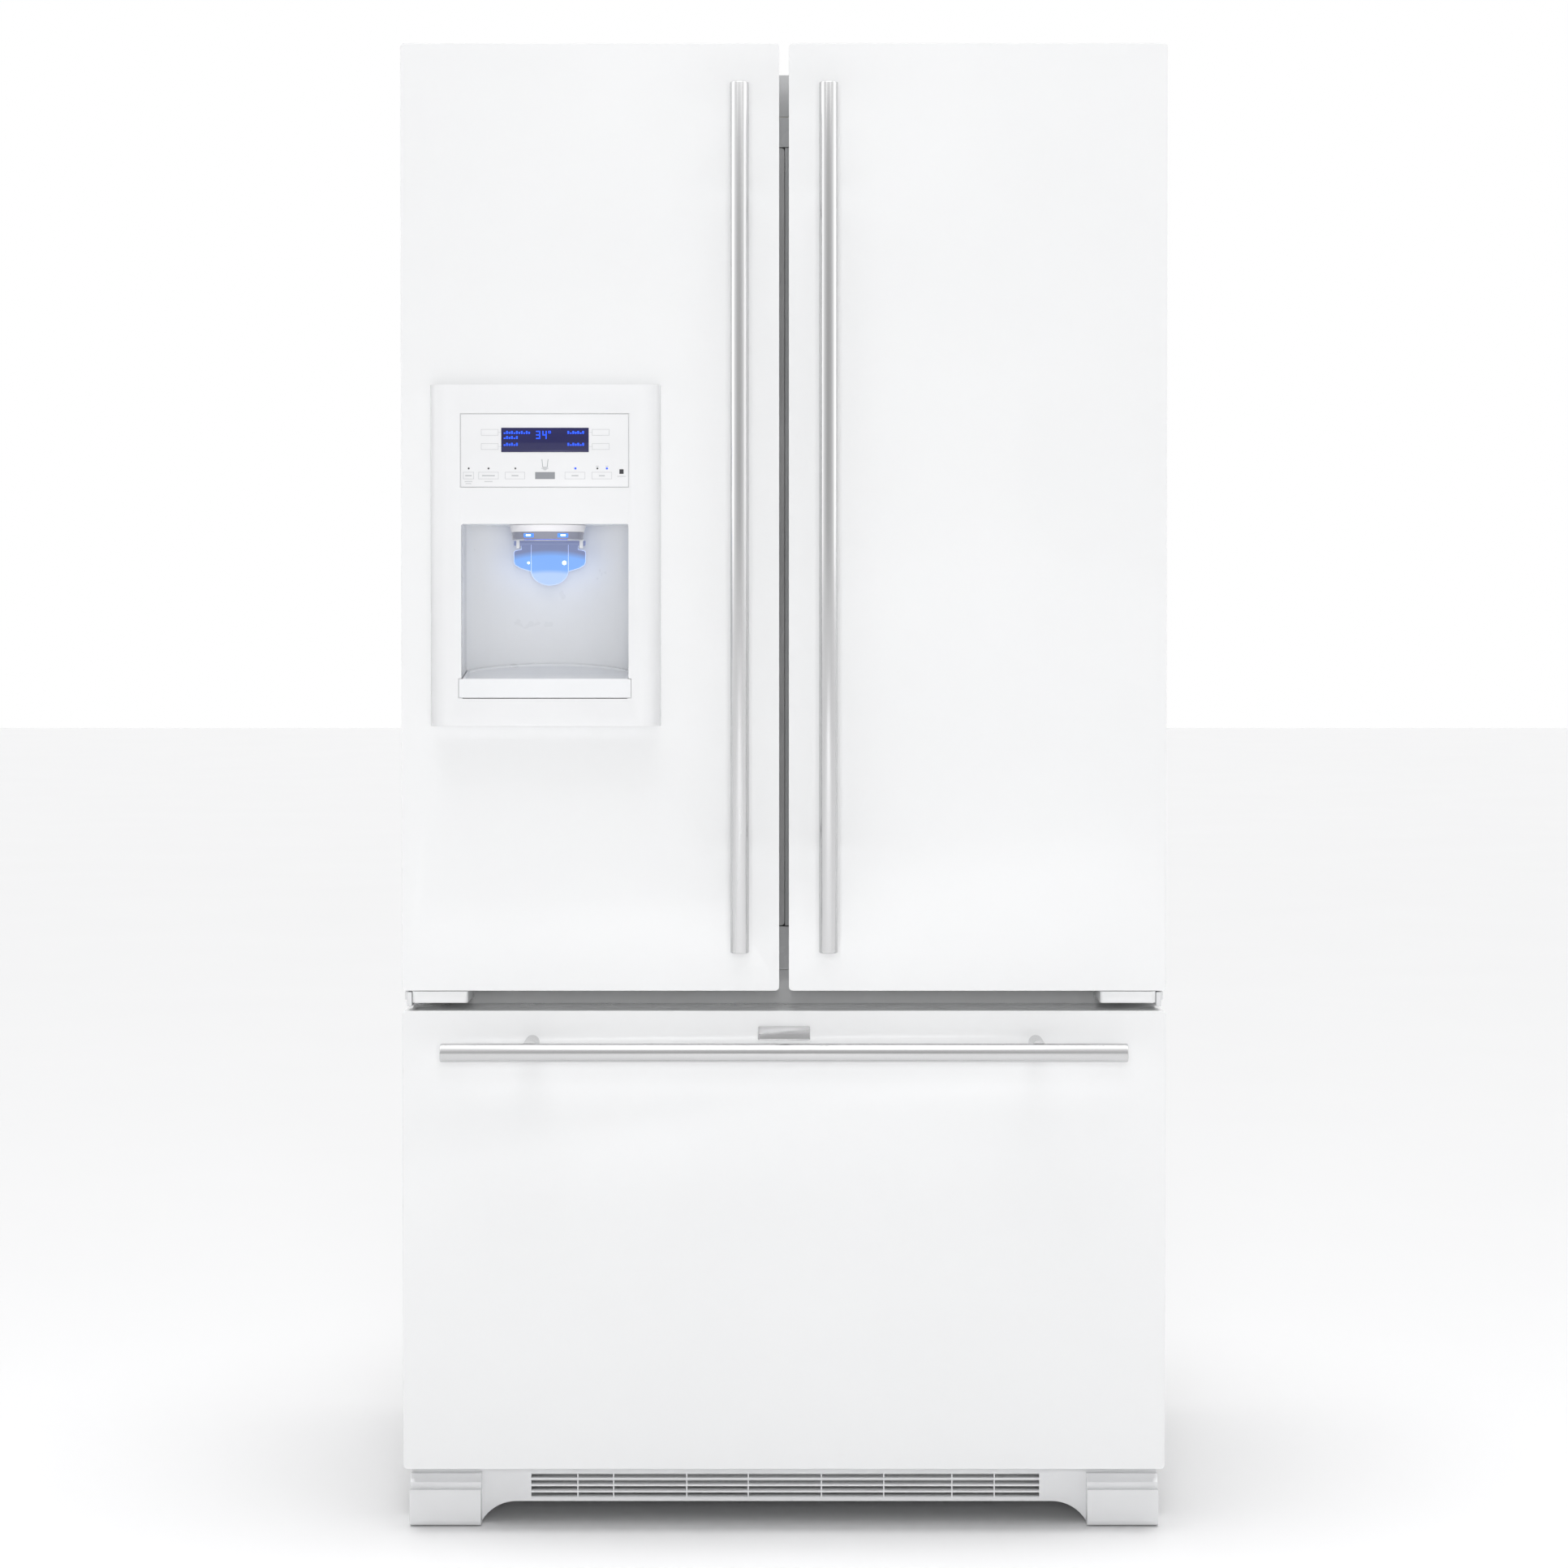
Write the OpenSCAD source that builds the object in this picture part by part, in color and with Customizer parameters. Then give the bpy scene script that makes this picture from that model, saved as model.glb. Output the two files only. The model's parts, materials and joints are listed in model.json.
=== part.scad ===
// French door refrigerator with a bottom freezer drawer and a door dispenser.
// Origin: centre of the footprint, on the floor. Front is -Y, +Z is up, millimetres.

/* [Overall] */
// Width across the doors
overall_w = 905; // [890:1:920]
// Depth of the cabinet behind the gaskets
cabinet_d = 620; // [600:1:640]
// Width of the steel cabinet
cabinet_w = 900; // [890:1:904]
// Height of the cabinet top
cabinet_top = 1743; // [1738:1:1748]
// Height of the cabinet floor above the ground
cabinet_bottom = 40; // [38:1:44]
// Top of the hinge covers
overall_h = 1778; // [1776:1:1784]

/* [Doors] */
// Thickness of a door from face to gasket
door_t = 86; // [80:1:90]
// Thickness of a closed gasket
gasket_t = 12; // [10:0.5:14]
// Height of the door bottoms
door_z0 = 647; // [646:1:650]
// Height of the door tops
door_z1 = 1766; // [1764:1:1767]
// Gap between the two doors
door_gap = 11.5; // [9:0.5:13]
// Corner radius of doors and drawer front
corner_r = 5; // [3:0.5:8]
// Inset of the hinge pins from the outer door edge
hinge_inset = 22.5; // [20:0.5:26]
// Depth of the hinge pins behind the door face
hinge_back = 45; // [42:1:50]

/* [Freezer drawer] */
// Width of the drawer front
drawer_w = 904; // [890:1:905]
// Height of the drawer front's bottom edge
drawer_z0 = 78; // [77:1:82]
// Height of the drawer front's top edge
drawer_z1 = 623; // [618:1:624]

/* [Handles] */
// Diameter of the handle bars
bar_d = 22; // [18:0.5:24]
// Reach of the bar's front beyond the door face
handle_reach = 68; // [60:1:70]
// Diameter of the handle posts
post_d = 17; // [14:0.5:20]
// Distance of the vertical bars from the centre line
bar_x = 52; // [46:1:60]
// Lower end of the vertical bars
bar_z0 = 697; // [690:1:720]
// Upper end of the vertical bars
bar_z1 = 1712; // [1690:1:1720]
// Height of the freezer bar
drawer_bar_z = 580; // [560:1:590]
// Half length of the freezer bar
drawer_bar_half = 402; // [380:1:410]

/* [Dispenser] */
// Centre of the dispenser across the left door
disp_x = -281.5; // [-284:0.5:-278]
// Width of the dispenser bezel
bezel_w = 272; // [268:1:276]
// Height of the bezel's bottom edge
bezel_z0 = 961; // [955:1:965]
// Height of the bezel's top edge
bezel_z1 = 1363; // [1360:1:1370]
// How far the bezel stands out of the door
bezel_proud = 20; // [18:0.5:22]
// Width of the dispenser recess
recess_w = 197; // [190:1:199]
// Radius of the recess's round back wall
recess_r = 108.5; // [106:0.5:110]

/* [Interior] */
// Half width inside the liners
inner_half = 403; // [400:1:404]
// Height of the fresh-food floor
fresh_z0 = 665; // [662:1:668]
// Height of the fresh-food ceiling
fresh_z1 = 1690; // [1680:1:1692]
// Height of the freezer floor
freezer_z0 = 110; // [108:1:114]
// Height of the freezer ceiling
freezer_z1 = 590; // [585:1:592]
// Heights of the adjustable half shelves
shelf_z = [1180, 1400];

/* [Hidden] */
$fn = 48;

// Front-to-back stations
depth = handle_reach + door_t + gasket_t + cabinet_d;
y_back = depth / 2;
y_flange = y_back - cabinet_d;
y_inner = y_flange - gasket_t;
y_face = y_inner - door_t;
y_bar = -y_back + bar_d / 2;
y_panel = y_back - 1.5;
y_fresh_back = y_back - 58;

// Doors
half_w = overall_w / 2;
door_in = door_gap / 2;
hinge_x = half_w - hinge_inset;
hinge_y = y_face + hinge_back;
skin_t = 1.5;
pin_r = 6;
run_gap = 0.05;
pin_hole_r = pin_r + run_gap;
pin_top_z = 1740;
pin_bottom_z = 670;

// Cabinet walls
cab_half = cabinet_w / 2;
shell_t = 1.5;
liner_t = 2.5;
liner_half = inner_half + liner_t;
foam_gap = 0.6;
machine_y = 200;
machine_top = 300;
freezer_step_y = 180;
freezer_step_z = 320;

// Front and rear edges shared by every shelf
shelf_y0 = -80;
shelf_y1 = y_fresh_back - 20;

// Gaskets
gasket_w = 18;
gasket_play = 0.3;
gasket_out = hinge_x - 5;
gasket_in = 9;

// Mullion flap
flap_x0 = -35;
flap_x1 = 0.5;
flap_z0 = 716;
flap_z1 = 1655;
flap_t = 18;
flap_pin_r = 3;
flap_axis_x = flap_x0 + 5;
flap_axis_y = y_flange + 1 + flap_t / 2;

// Drawer slides, nested across the width from the liner inwards
slide_z = 315;
slide_len = 385;
slide_y0 = y_flange + 10;

// Dispenser stations
y_bezel = y_face - bezel_proud;
recess_cy = -315.5;
tray_z0 = 994.5;
tray_z1 = 1016.6;
cavity_z1 = 1199;
panel_z0 = 1242;
panel_z1 = 1328.5;
panel_w = 198;
chute_y = -288;
paddle_y = -250;
paddle_z = 1178;
paddle_pin_r = 3;

// Running gear
roller_r = 20;
roller_y = 330;
roller_x = 395;
axle_r = 4;
foot_x = 395;
foot_y = -180;
foot_screw_r = 5;
fan_y = 295;
fan_z = 160;
fan_r = 72;

// A box between two opposite corners.
module span(a, b) {
    translate(a) cube(b - a);
}

// The same shape on both sides of the centre plane.
module both_sides() {
    children();
    mirror([1, 0, 0]) children();
}

// A rectangle with round corners, from (x0, z0) to (x1, z1).
module round_rect(x0, z0, x1, z1, r) {
    translate([x0 + r, z0]) square([x1 - x0 - 2 * r, z1 - z0]);
    translate([x0, z0 + r]) square([x1 - x0, z1 - z0 - 2 * r]);
    for (x = [x0 + r, x1 - r], z = [z0 + r, z1 - r]) translate([x, z]) circle(r);
}

// A plate with round corners that faces the front, between depths y0 and y1.
module front_plate(x0, z0, x1, z1, r, y0, y1) {
    translate([0, y1, 0]) rotate([90, 0, 0]) linear_extrude(y1 - y0)
        round_rect(x0, z0, x1, z1, r);
}

// A plate with round corners that lies flat, between heights z0 and z1.
module flat_plate(x0, y0, x1, y1, r, z0, z1) {
    translate([0, 0, z0]) linear_extrude(z1 - z0) round_rect(x0, y0, x1, y1, r);
}

// A round rod along X, Y or Z, starting at point p.
module rod_x(p, len, r) {
    translate(p) rotate([0, 90, 0]) cylinder(h = len, r = r);
}
module rod_y(p, len, r) {
    translate(p) rotate([-90, 0, 0]) cylinder(h = len, r = r);
}
module rod_z(p, len, r) {
    translate(p) cylinder(h = len, r = r);
}

// An open-topped tub with walls of thickness t.
module tub(a, b, r, t) {
    difference() {
        flat_plate(a[0], a[1], b[0], b[1], r, a[2], b[2]);
        flat_plate(a[0] + t, a[1] + t, b[0] - t, b[1] - t, r - t / 2, a[2] + t, b[2] + 1);
    }
}

// A frame that faces the front, of width w.
module front_frame(a, b, w) {
    difference() {
        span(a, b);
        span([a[0] + w, a[1] - 1, a[2] + w], [b[0] - w, b[1] + 1, b[2] - w]);
    }
}

// ---- Cabinet ----

// Steel wrap of sides and top, with a front flange that reaches in to the liners.
module cabinet_shell() color([0.93, 0.93, 0.94]) difference() {
    span([-cab_half, y_flange, cabinet_bottom], [cab_half, y_panel, cabinet_top]);
    span([-cab_half + shell_t, y_flange + shell_t, cabinet_bottom - 1],
         [cab_half - shell_t, y_back, cabinet_top - shell_t]);
    span([-liner_half, y_flange - 1, cabinet_bottom - 1],
         [liner_half, y_flange + shell_t + 1, fresh_z1 + liner_t]);
}

module rear_panel() color([0.72, 0.73, 0.74])
    span([-cab_half, y_panel, machine_top + 5], [cab_half, y_back, cabinet_top]);

module cabinet_insulation() color([0.95, 0.9, 0.72]) {
    side_out = cab_half - shell_t;
    y0 = y_flange + shell_t;
    y1 = y_panel;
    foam_top = cabinet_top - shell_t;
    floor_z = cabinet_bottom + 3.6;
    rail_t = 30;
    // side walls
    both_sides() span([liner_half, y0, cabinet_bottom], [side_out, y1, foam_top]);
    inner = liner_half - foam_gap;
    // ceiling
    span([-inner, y0, fresh_z1 + liner_t], [inner, y1, foam_top]);
    // fresh-food back wall
    span([-inner, y_fresh_back + liner_t, fresh_z0], [inner, y1, fresh_z1 + liner_t - foam_gap]);
    // divider between the two spaces
    span([-inner, y0 + rail_t, freezer_z1 + liner_t], [inner, y1, fresh_z0 - liner_t]);
    // freezer back wall above the machine compartment
    span([-inner, y_fresh_back + liner_t, machine_top + 3],
         [inner, y1, freezer_z1 + liner_t - foam_gap]);
    // step over the machine compartment
    span([-inner, freezer_step_y + liner_t, machine_top + 3],
         [inner, y_fresh_back + liner_t - foam_gap, freezer_step_z - liner_t]);
    // wall in front of the machine compartment
    span([-inner, freezer_step_y + liner_t, floor_z],
         [inner, machine_y, machine_top + 3 - foam_gap]);
    // freezer floor
    span([-inner, y0, floor_z],
         [inner, freezer_step_y + liner_t - foam_gap, freezer_z0 - liner_t]);
}

module fresh_food_liner() color([0.97, 0.97, 0.98]) {
    difference() {
        span([-liner_half + 0.1, y_flange + 2, fresh_z0 - liner_t + 0.1],
             [liner_half - 0.1, y_fresh_back + liner_t - 0.1, fresh_z1 + liner_t - 0.1]);
        span([-inner_half, y_flange - 1, fresh_z0], [inner_half, y_fresh_back, fresh_z1]);
    }
    // blocks above and below the closed mullion flap
    for (z = [[fresh_z0 - 1, flap_z0 - 1.5], [flap_z1 + 1.5, fresh_z1 + 1]])
        span([-20, y_flange + 2.5, z[0]], [26, y_flange + 24, z[1]]);
}

// Side profile of the freezer space, grown outward by g.
module freezer_profile(g) {
    y0 = y_flange + 2;
    polygon([
        [y0, freezer_z0 - g], [freezer_step_y + g, freezer_z0 - g],
        [freezer_step_y + g, freezer_step_z - g], [y_fresh_back + g, freezer_step_z - g],
        [y_fresh_back + g, freezer_z1 + g], [y0, freezer_z1 + g]
    ]);
}

// Extrudes a side profile, drawn as (y, z), across the width from -half to half.
module across(half) {
    translate([-half, 0, 0]) rotate([90, 0, 90]) linear_extrude(2 * half) children();
}

module freezer_liner() color([0.96, 0.96, 0.97]) difference() {
    across(liner_half - 0.1) freezer_profile(liner_t - 0.1);
    across(inner_half) freezer_profile(0);
    span([-inner_half, y_flange - 1, freezer_z0], [inner_half, y_flange + 5, freezer_z1]);
}

// Steel cross rails that the gaskets close on, between the spaces and at the floor.
module divider_rail() color([0.9, 0.9, 0.91]) {
    half = liner_half - foam_gap;
    z_play = liner_t + 0.1;
    span([-half, y_flange, freezer_z1 + z_play], [half, y_flange + 30, fresh_z0 - z_play]);
    span([-half, y_flange, cabinet_bottom + 0.2], [half, y_flange + 1.4, freezer_z0 - z_play]);
}

// ---- Hinges, base and feet ----

module top_hinges() color([0.9, 0.9, 0.91]) both_sides() {
    plate_t = 4;
    arm_t = 3;
    arm_r = 16;
    arm_z = door_z1 + 0.4;
    difference() {
        union() {
            // foot on the cabinet top, riser, arm over the door, and pin
            flat_plate(hinge_x - arm_r, y_flange + 8, hinge_x + arm_r, y_flange + 110, 5, cabinet_top,
                       cabinet_top + plate_t);
            span([hinge_x - arm_r, y_flange + 4, cabinet_top],
                 [hinge_x + arm_r, y_flange + 13, arm_z + arm_t]);
            span([hinge_x - arm_r, hinge_y, arm_z], [hinge_x + arm_r, y_flange + 5, arm_z + arm_t]);
            rod_z([hinge_x, hinge_y, arm_z], arm_t, arm_r);
            rod_z([hinge_x, hinge_y, pin_top_z], arm_z - pin_top_z + 1, pin_r);
        }
        for (y = [y_flange + 40, y_flange + 90])
            translate([hinge_x, y, cabinet_top - 1]) cylinder(h = plate_t + 2, r = 3);
    }
}

// Caps that stand on the cabinet behind the door tops.
module top_hinge_covers() color([0.95, 0.95, 0.96]) both_sides() {
    wall = 2;
    x0 = hinge_x - 32;
    x1 = hinge_x + 20;
    y0 = y_flange - 1;
    y1 = y_flange + 116;
    low_z = cabinet_top + 0.2;
    difference() {
        flat_plate(x0, y0, x1, y1, 6, low_z, overall_h);
        flat_plate(x0 + wall, y0 + wall, x1 - wall, y1 - wall, 5, low_z - 1, overall_h - wall);
        // slot for the hinge arm
        span([hinge_x - 17, y0 - 1, door_z1 - 1], [hinge_x + 17, y0 + 6, door_z1 + 4.4]);
    }
}

// Hinge brackets between doors and drawer, each with the pin of a door above it.
module center_hinges() color([0.96, 0.96, 0.97]) both_sides() {
    x0 = hinge_x - 55;
    x1 = hinge_x + 11;
    z0 = door_z0 - 15;
    z1 = door_z0 - 1.5;
    flat_plate(x0, y_face + 6, x1, y_flange, 5, z0, z1);
    rod_z([hinge_x, hinge_y, z1], pin_bottom_z - z1, pin_r);
    span([x0, y_flange - 3, z0 - 5], [x1, y_flange, z1]);
}

// Floor of the cabinet, with brackets that carry the pins of the rear rollers.
module base_pan() color([0.45, 0.46, 0.48]) {
    z0 = cabinet_bottom - 3;
    well = 14;
    cheek_t = 3;
    difference() {
        span([-cab_half, y_flange, z0], [cab_half, y_back, cabinet_bottom]);
        both_sides() translate([roller_x - well, roller_y - roller_r - 4, z0 - 1])
            cube([2 * well, 2 * roller_r + 8, 6]);
        both_sides() rod_z([foot_x, foot_y, z0 - 1], 6, foot_screw_r + 0.2);
    }
    both_sides() {
        for (x = [roller_x - well - cheek_t, roller_x + well])
            span([x, roller_y - well, 8], [x + cheek_t, roller_y + well, z0]);
        rod_x([roller_x - well, roller_y, roller_r], 2 * well, axle_r);
    }
}

module leveling_feet() color([0.25, 0.26, 0.28]) both_sides() {
    pad_t = 9;
    rod_z([foot_x, foot_y, 0], pad_t, 18);
    rod_z([foot_x, foot_y, pad_t], cabinet_bottom - 6, foot_screw_r);
    translate([foot_x, foot_y, 22]) cylinder(h = 10, r = 11, $fn = 6);
}

// The louvred plinth between two foot covers.
module base_grille() color([0.96, 0.96, 0.97]) {
    plate_y = -268;
    plate_t = 4;
    top_z = 76;
    arch_z = 26;
    foot_in = 363;
    foot_out = 448;
    arch_in = 322;
    arch_r = 48;
    slot_z = 31;
    slot_h = 5.2;
    slot_pitch = 7.6;
    slot_x = [-304, 307];
    divider_x = [-248, -205, -117, -43, 45, 120, 202, 253];
    difference() {
        translate([0, plate_y + plate_t, 0]) rotate([90, 0, 0]) linear_extrude(plate_t)
            difference() {
                translate([-foot_out, 1]) square([2 * foot_out, top_z - 1]);
                translate([-arch_in, 0]) square([2 * arch_in, arch_z]);
                both_sides() translate([arch_in, arch_z - arch_r]) intersection() {
                    circle(arch_r);
                    square(arch_r);
                }
            }
        for (z = [slot_z : slot_pitch : slot_z + 3 * slot_pitch])
            span([slot_x[0], plate_y - 1, z], [slot_x[1], plate_y + plate_t + 1, z + slot_h]);
    }
    // louvre blades behind the slots, on vertical dividers
    for (z = [slot_z : slot_pitch : slot_z + 3 * slot_pitch])
        span([slot_x[0] - 2, plate_y + plate_t - 1, z - 1.2],
             [slot_x[1] + 2, plate_y + plate_t + 9, z + 0.4]);
    for (x = divider_x)
        span([x - 0.8, plate_y + 0.4, slot_z - 2],
             [x + 0.8, plate_y + plate_t + 8, slot_z + 4 * slot_pitch]);
    both_sides() difference() {
        translate([foot_in, 0, 0]) rotate([90, 0, 90]) linear_extrude(foot_out - foot_in)
            foot_profile(plate_y);
        translate([foot_in + 3, 0, 0]) rotate([90, 0, 90]) linear_extrude(foot_out - foot_in - 6)
            polygon([[plate_y - 14, 4], [y_flange + 1, 4], [y_flange + 1, 50], [plate_y, 50]]);
    }
}

// Side view of a foot cover: full at the floor, swept back under the drawer.
module foot_profile(plate_y) {
    toe_y = -292;
    toe_r = 8;
    difference() {
        union() {
            translate([toe_y + toe_r, 1]) square([y_flange - 0.5 - toe_y - toe_r, 60]);
            translate([toe_y, 1 + toe_r]) square([20, 44 - toe_r]);
            translate([toe_y + toe_r, 1 + toe_r]) circle(toe_r);
            translate([plate_y, 1]) square([y_flange - 0.5 - plate_y, 75]);
        }
        translate([toe_y - 7, 76]) circle(28);
    }
}

// ---- Machine compartment ----

module compressor() color([0.13, 0.13, 0.14]) {
    x = -270;
    y = 295;
    span([x - 95, y - 70, cabinet_bottom], [x + 95, y + 70, cabinet_bottom + 4]);
    for (dx = [-78, 78], dy = [-52, 52]) rod_z([x + dx, y + dy, cabinet_bottom + 4], 12, 10);
    span([x - 92, y - 66, cabinet_bottom + 16], [x + 92, y + 66, cabinet_bottom + 19]);
    translate([x, y, cabinet_bottom + 19]) {
        cylinder(h = 95, r = 64);
        translate([0, 0, 95]) intersection() {
            translate([0, 0, -42]) sphere(r = 76.6);
            cylinder(h = 60, r = 64);
        }
    }
    span([x - 86, y - 18, 85], [x - 60, y + 18, 135]);
}

module condenser_coil() color([0.2, 0.2, 0.22]) {
    tube_r = 3;
    x0 = 110;
    x1 = 300;
    rows = 8;
    pitch = 24;
    for (col = [0 : 3], row = [0 : rows - 1])
        rod_x([x0, 245 + col * 30, 62 + row * pitch], x1 - x0, tube_r);
    for (x = [x0, x1 - 2]) difference() {
        span([x, 230, cabinet_bottom], [x + 2, 350, 245]);
        for (col = [0 : 3], row = [0 : rows - 1])
            rod_x([x - 1, 245 + col * 30, 62 + row * pitch], 4, tube_r - 0.4);
    }
    for (fin = [1 : 8])
        span([x0 + fin * 21, 236, 70], [x0 + fin * 21 + 0.8, 344, 236]);
}

module fan_bracket() color([0.3, 0.31, 0.33]) {
    x0 = 26;
    difference() {
        span([x0, 205, cabinet_bottom], [x0 + 3, 385, 285]);
        rod_x([x0 - 1, fan_y, fan_z], 5, fan_r + 6);
    }
    rod_x([x0, fan_y, fan_z], 46, 24);
    for (a = [0, 90]) translate([x0 + 1.5, fan_y, fan_z]) rotate([a, 0, 0])
        cube([3, 8, 2 * fan_r + 16], center = true);
    rod_x([x0 - 24, fan_y, fan_z], 25, axle_r);
}

module condenser_fan() color([0.1, 0.1, 0.11]) difference() {
    translate([14, fan_y, fan_z]) rotate([0, 90, 0]) {
        translate([0, 0, -16]) cylinder(h = 22, r = 20);
        for (blade = [0 : 4]) rotate([0, 0, blade * 72])
            rotate([28, 0, 0]) translate([16, -18, -6]) cube([fan_r - 18, 36, 3]);
    }
    rod_x([-30, fan_y, fan_z], 60, axle_r + run_gap);
}

// Vented board over the compartment, and the bush of the mains lead's way out.
module machine_cover() color([0.35, 0.36, 0.38]) {
    gland_x = 385;
    gland_z = 120;
    gland_r = 9;
    difference() {
        span([-cab_half + 2, y_panel, cabinet_bottom + 2], [cab_half - 2, y_back, machine_top + 4]);
        for (row = [0 : 9], bank = [-320, 60])
            span([bank, y_panel - 1, 80 + row * 16], [bank + 260, y_back + 1, 88 + row * 16]);
        rod_y([gland_x, y_panel - 1, gland_z], 4, gland_r);
    }
    difference() {
        union() {
            rod_y([gland_x, y_back - 16, gland_z], 16, gland_r - 0.1);
            rod_y([gland_x, y_back - 6, gland_z], 4.4, gland_r + 4);
        }
        rod_y([gland_x, y_back - 17, gland_z], 18, 4.5);
    }
}

// ---- Freezer and fresh-food fittings ----

module evaporator() color([0.75, 0.76, 0.78]) {
    for (row = [0 : 6]) rod_x([-300, 300, 360 + row * 28], 600, 4);
    for (x = [-298, 296]) difference() {
        span([x, 280, 342], [x + 2, 320, 546]);
        for (row = [0 : 6]) rod_x([x - 1, 300, 360 + row * 28], 4, 3.5);
    }
    for (fin = [0 : 17])
        span([-280 + fin * 32, 282, 346], [-279 + fin * 32, 318, 542]);
}

module evaporator_cover() color([0.93, 0.94, 0.95]) difference() {
    span([-inner_half + 0.3, 262, freezer_step_z + 0.2], [inner_half - 0.3, 266, freezer_z1 - 0.3]);
    for (i = [0 : 5], x = [-300, -100, 100])
        span([x, 260, 520 + i * 9], [x + 200 - 40, 268, 524 + i * 9]);
}

module air_tower() color([0.94, 0.95, 0.96]) difference() {
    span([-55, y_fresh_back - 16, 985], [55, y_fresh_back - 0.2, fresh_z1 - 8]);
    span([-51, y_fresh_back - 13, 989], [51, y_fresh_back - 1.5, fresh_z1 - 12]);
    for (z = [1060, 1290, 1510], x = [-40, 8])
        span([x, y_fresh_back - 20, z], [x + 32, y_fresh_back - 10, z + 10]);
}

module shelf_standards() color([0.8, 0.81, 0.82]) {
    for (x = [-388, -75, 75, 388]) difference() {
        span([x - 7, y_fresh_back - 8, 1010], [x + 7, y_fresh_back - 0.2, 1660]);
        for (slot = [0 : 24])
            span([x - 2, y_fresh_back - 9, 1025 + slot * 25], [x + 2, y_fresh_back - 5, 1037 + slot * 25]);
    }
}

// Front or rear trim of a glass shelf, slotted for the edge of the glass.
module shelf_trim(x0, x1, y0, width, z, glass_side) difference() {
    slot_y = glass_side > 0 ? y0 + 4 : y0 - 1;
    span([x0, y0, z], [x1, y0 + width, z + 16]);
    span([x0 + 4, slot_y, z + 8], [x1 - 4, slot_y + width - 3, z + 14.2]);
}

// Side bracket of a half shelf, from behind the front trim to the wall standard.
module shelf_bracket(x, z) translate([x, 0, 0]) rotate([90, 0, 90]) linear_extrude(4)
    polygon([[shelf_y0 + 15, z + 8.1], [shelf_y1 - 14.5, z + 8.1], [shelf_y1 - 14.5, z - 0.1],
             [y_fresh_back - 8.2, z - 0.1], [y_fresh_back - 8.2, z - 34], [shelf_y1, z - 34],
             [shelf_y0 + 15, z - 2]]);

module shelf_frames() color([0.92, 0.93, 0.94]) {
    cover_z = 962;
    pantry_cover_z = 784;
    trim_w = 14;
    play = 0.1;
    // adjustable half shelves: two trims and two brackets each
    for (z = shelf_z) both_sides() {
        shelf_trim(3, 398, shelf_y0, trim_w, z, 1);
        shelf_trim(3, 398, shelf_y1 - trim_w, trim_w, z, -1);
        for (x = [73, 386]) shelf_bracket(x, z);
    }
    // crisper cover: two trims joined by side rails
    shelf_trim(-402, 402, shelf_y0, trim_w, cover_z, 1);
    shelf_trim(-402, 402, shelf_y1 - trim_w, trim_w, cover_z, -1);
    both_sides() span([390, shelf_y0 + trim_w + play, cover_z],
                      [402, shelf_y1 - trim_w - play, cover_z + 8 + play]);
    // pantry cover that the crispers run on, and the post between them
    span([-402.5, shelf_y0 + 2, pantry_cover_z], [402.5, y_fresh_back - 2, pantry_cover_z + 5]);
    span([-2, shelf_y0 + 10, pantry_cover_z + 5 + play], [2, y_fresh_back - 12, cover_z - play]);
}

module shelf_glass() color([0.75, 0.86, 0.86, 0.5]) {
    for (z = shelf_z) both_sides()
        span([7.2, shelf_y0 + 4.2, z + 8.2], [393.8, shelf_y1 - 4.2, z + 14]);
    span([-397.8, shelf_y0 + 4.2, 970.2], [397.8, shelf_y1 - 4.2, 976]);
}

module ice_maker() color([0.9, 0.91, 0.93]) difference() {
    span([-395, -60, 1585], [-235, 230, 1688]);
    span([-388, -40, 1600], [-242, 222, 1650]);
    span([-388, -61, 1600], [-242, -39, 1640]);
}

module water_filter() color([0.93, 0.94, 0.95]) {
    rod_y([330, -90, 1648], 260, 30);
    rod_y([330, -104, 1648], 14, 33);
    span([318, 170, 1632], [342, 300, 1688]);
}

// One channel of a telescopic slide, open towards the middle of the drawer.
module slide_channel(x_in, x_out, half_h, wall, y0, len) difference() {
    span([x_in, y0, slide_z - half_h], [x_out, y0 + len, slide_z + half_h]);
    span([x_in - 1, y0 - 1, slide_z - half_h + wall], [x_out - wall, y0 + len + 1, slide_z + half_h - wall]);
}

module freezer_rails() color([0.7, 0.71, 0.73]) both_sides()
    slide_channel(395, inner_half - 0.2, 19, 1.5, slide_y0 - 4, slide_len + 8);

module slide_middles() color([0.7, 0.71, 0.73]) both_sides()
    slide_channel(391.5, inner_half - 2.2, 16.5, 1.5, slide_y0, slide_len);

module rear_rollers() color([0.3, 0.3, 0.31]) both_sides() difference() {
    rod_x([roller_x - 10, roller_y, roller_r], 20, roller_r);
    rod_x([roller_x - 12, roller_y, roller_r], 24, axle_r + run_gap);
}

// ---- Drawers inside the fresh-food space ----

module front_drawer(a, b) {
    difference() {
        tub(a, b, 10, 3);
        // hand grip under the front edge
        span([(a[0] + b[0]) / 2 - 60, a[1] - 1, b[2] - 22], [(a[0] + b[0]) / 2 + 60, a[1] + 4, b[2] - 10]);
    }
}

module left_crisper() color([0.85, 0.92, 0.95, 0.6])
    front_drawer([-399, -72, 789.5], [-4, 322, 955]);

module right_crisper() color([0.85, 0.92, 0.95, 0.6])
    front_drawer([4, -72, 789.5], [399, 322, 955]);

module pantry_drawer() color([0.85, 0.92, 0.95, 0.6])
    front_drawer([-398, -72, 668], [398, 322, 781]);

// ---- Doors ----

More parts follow.
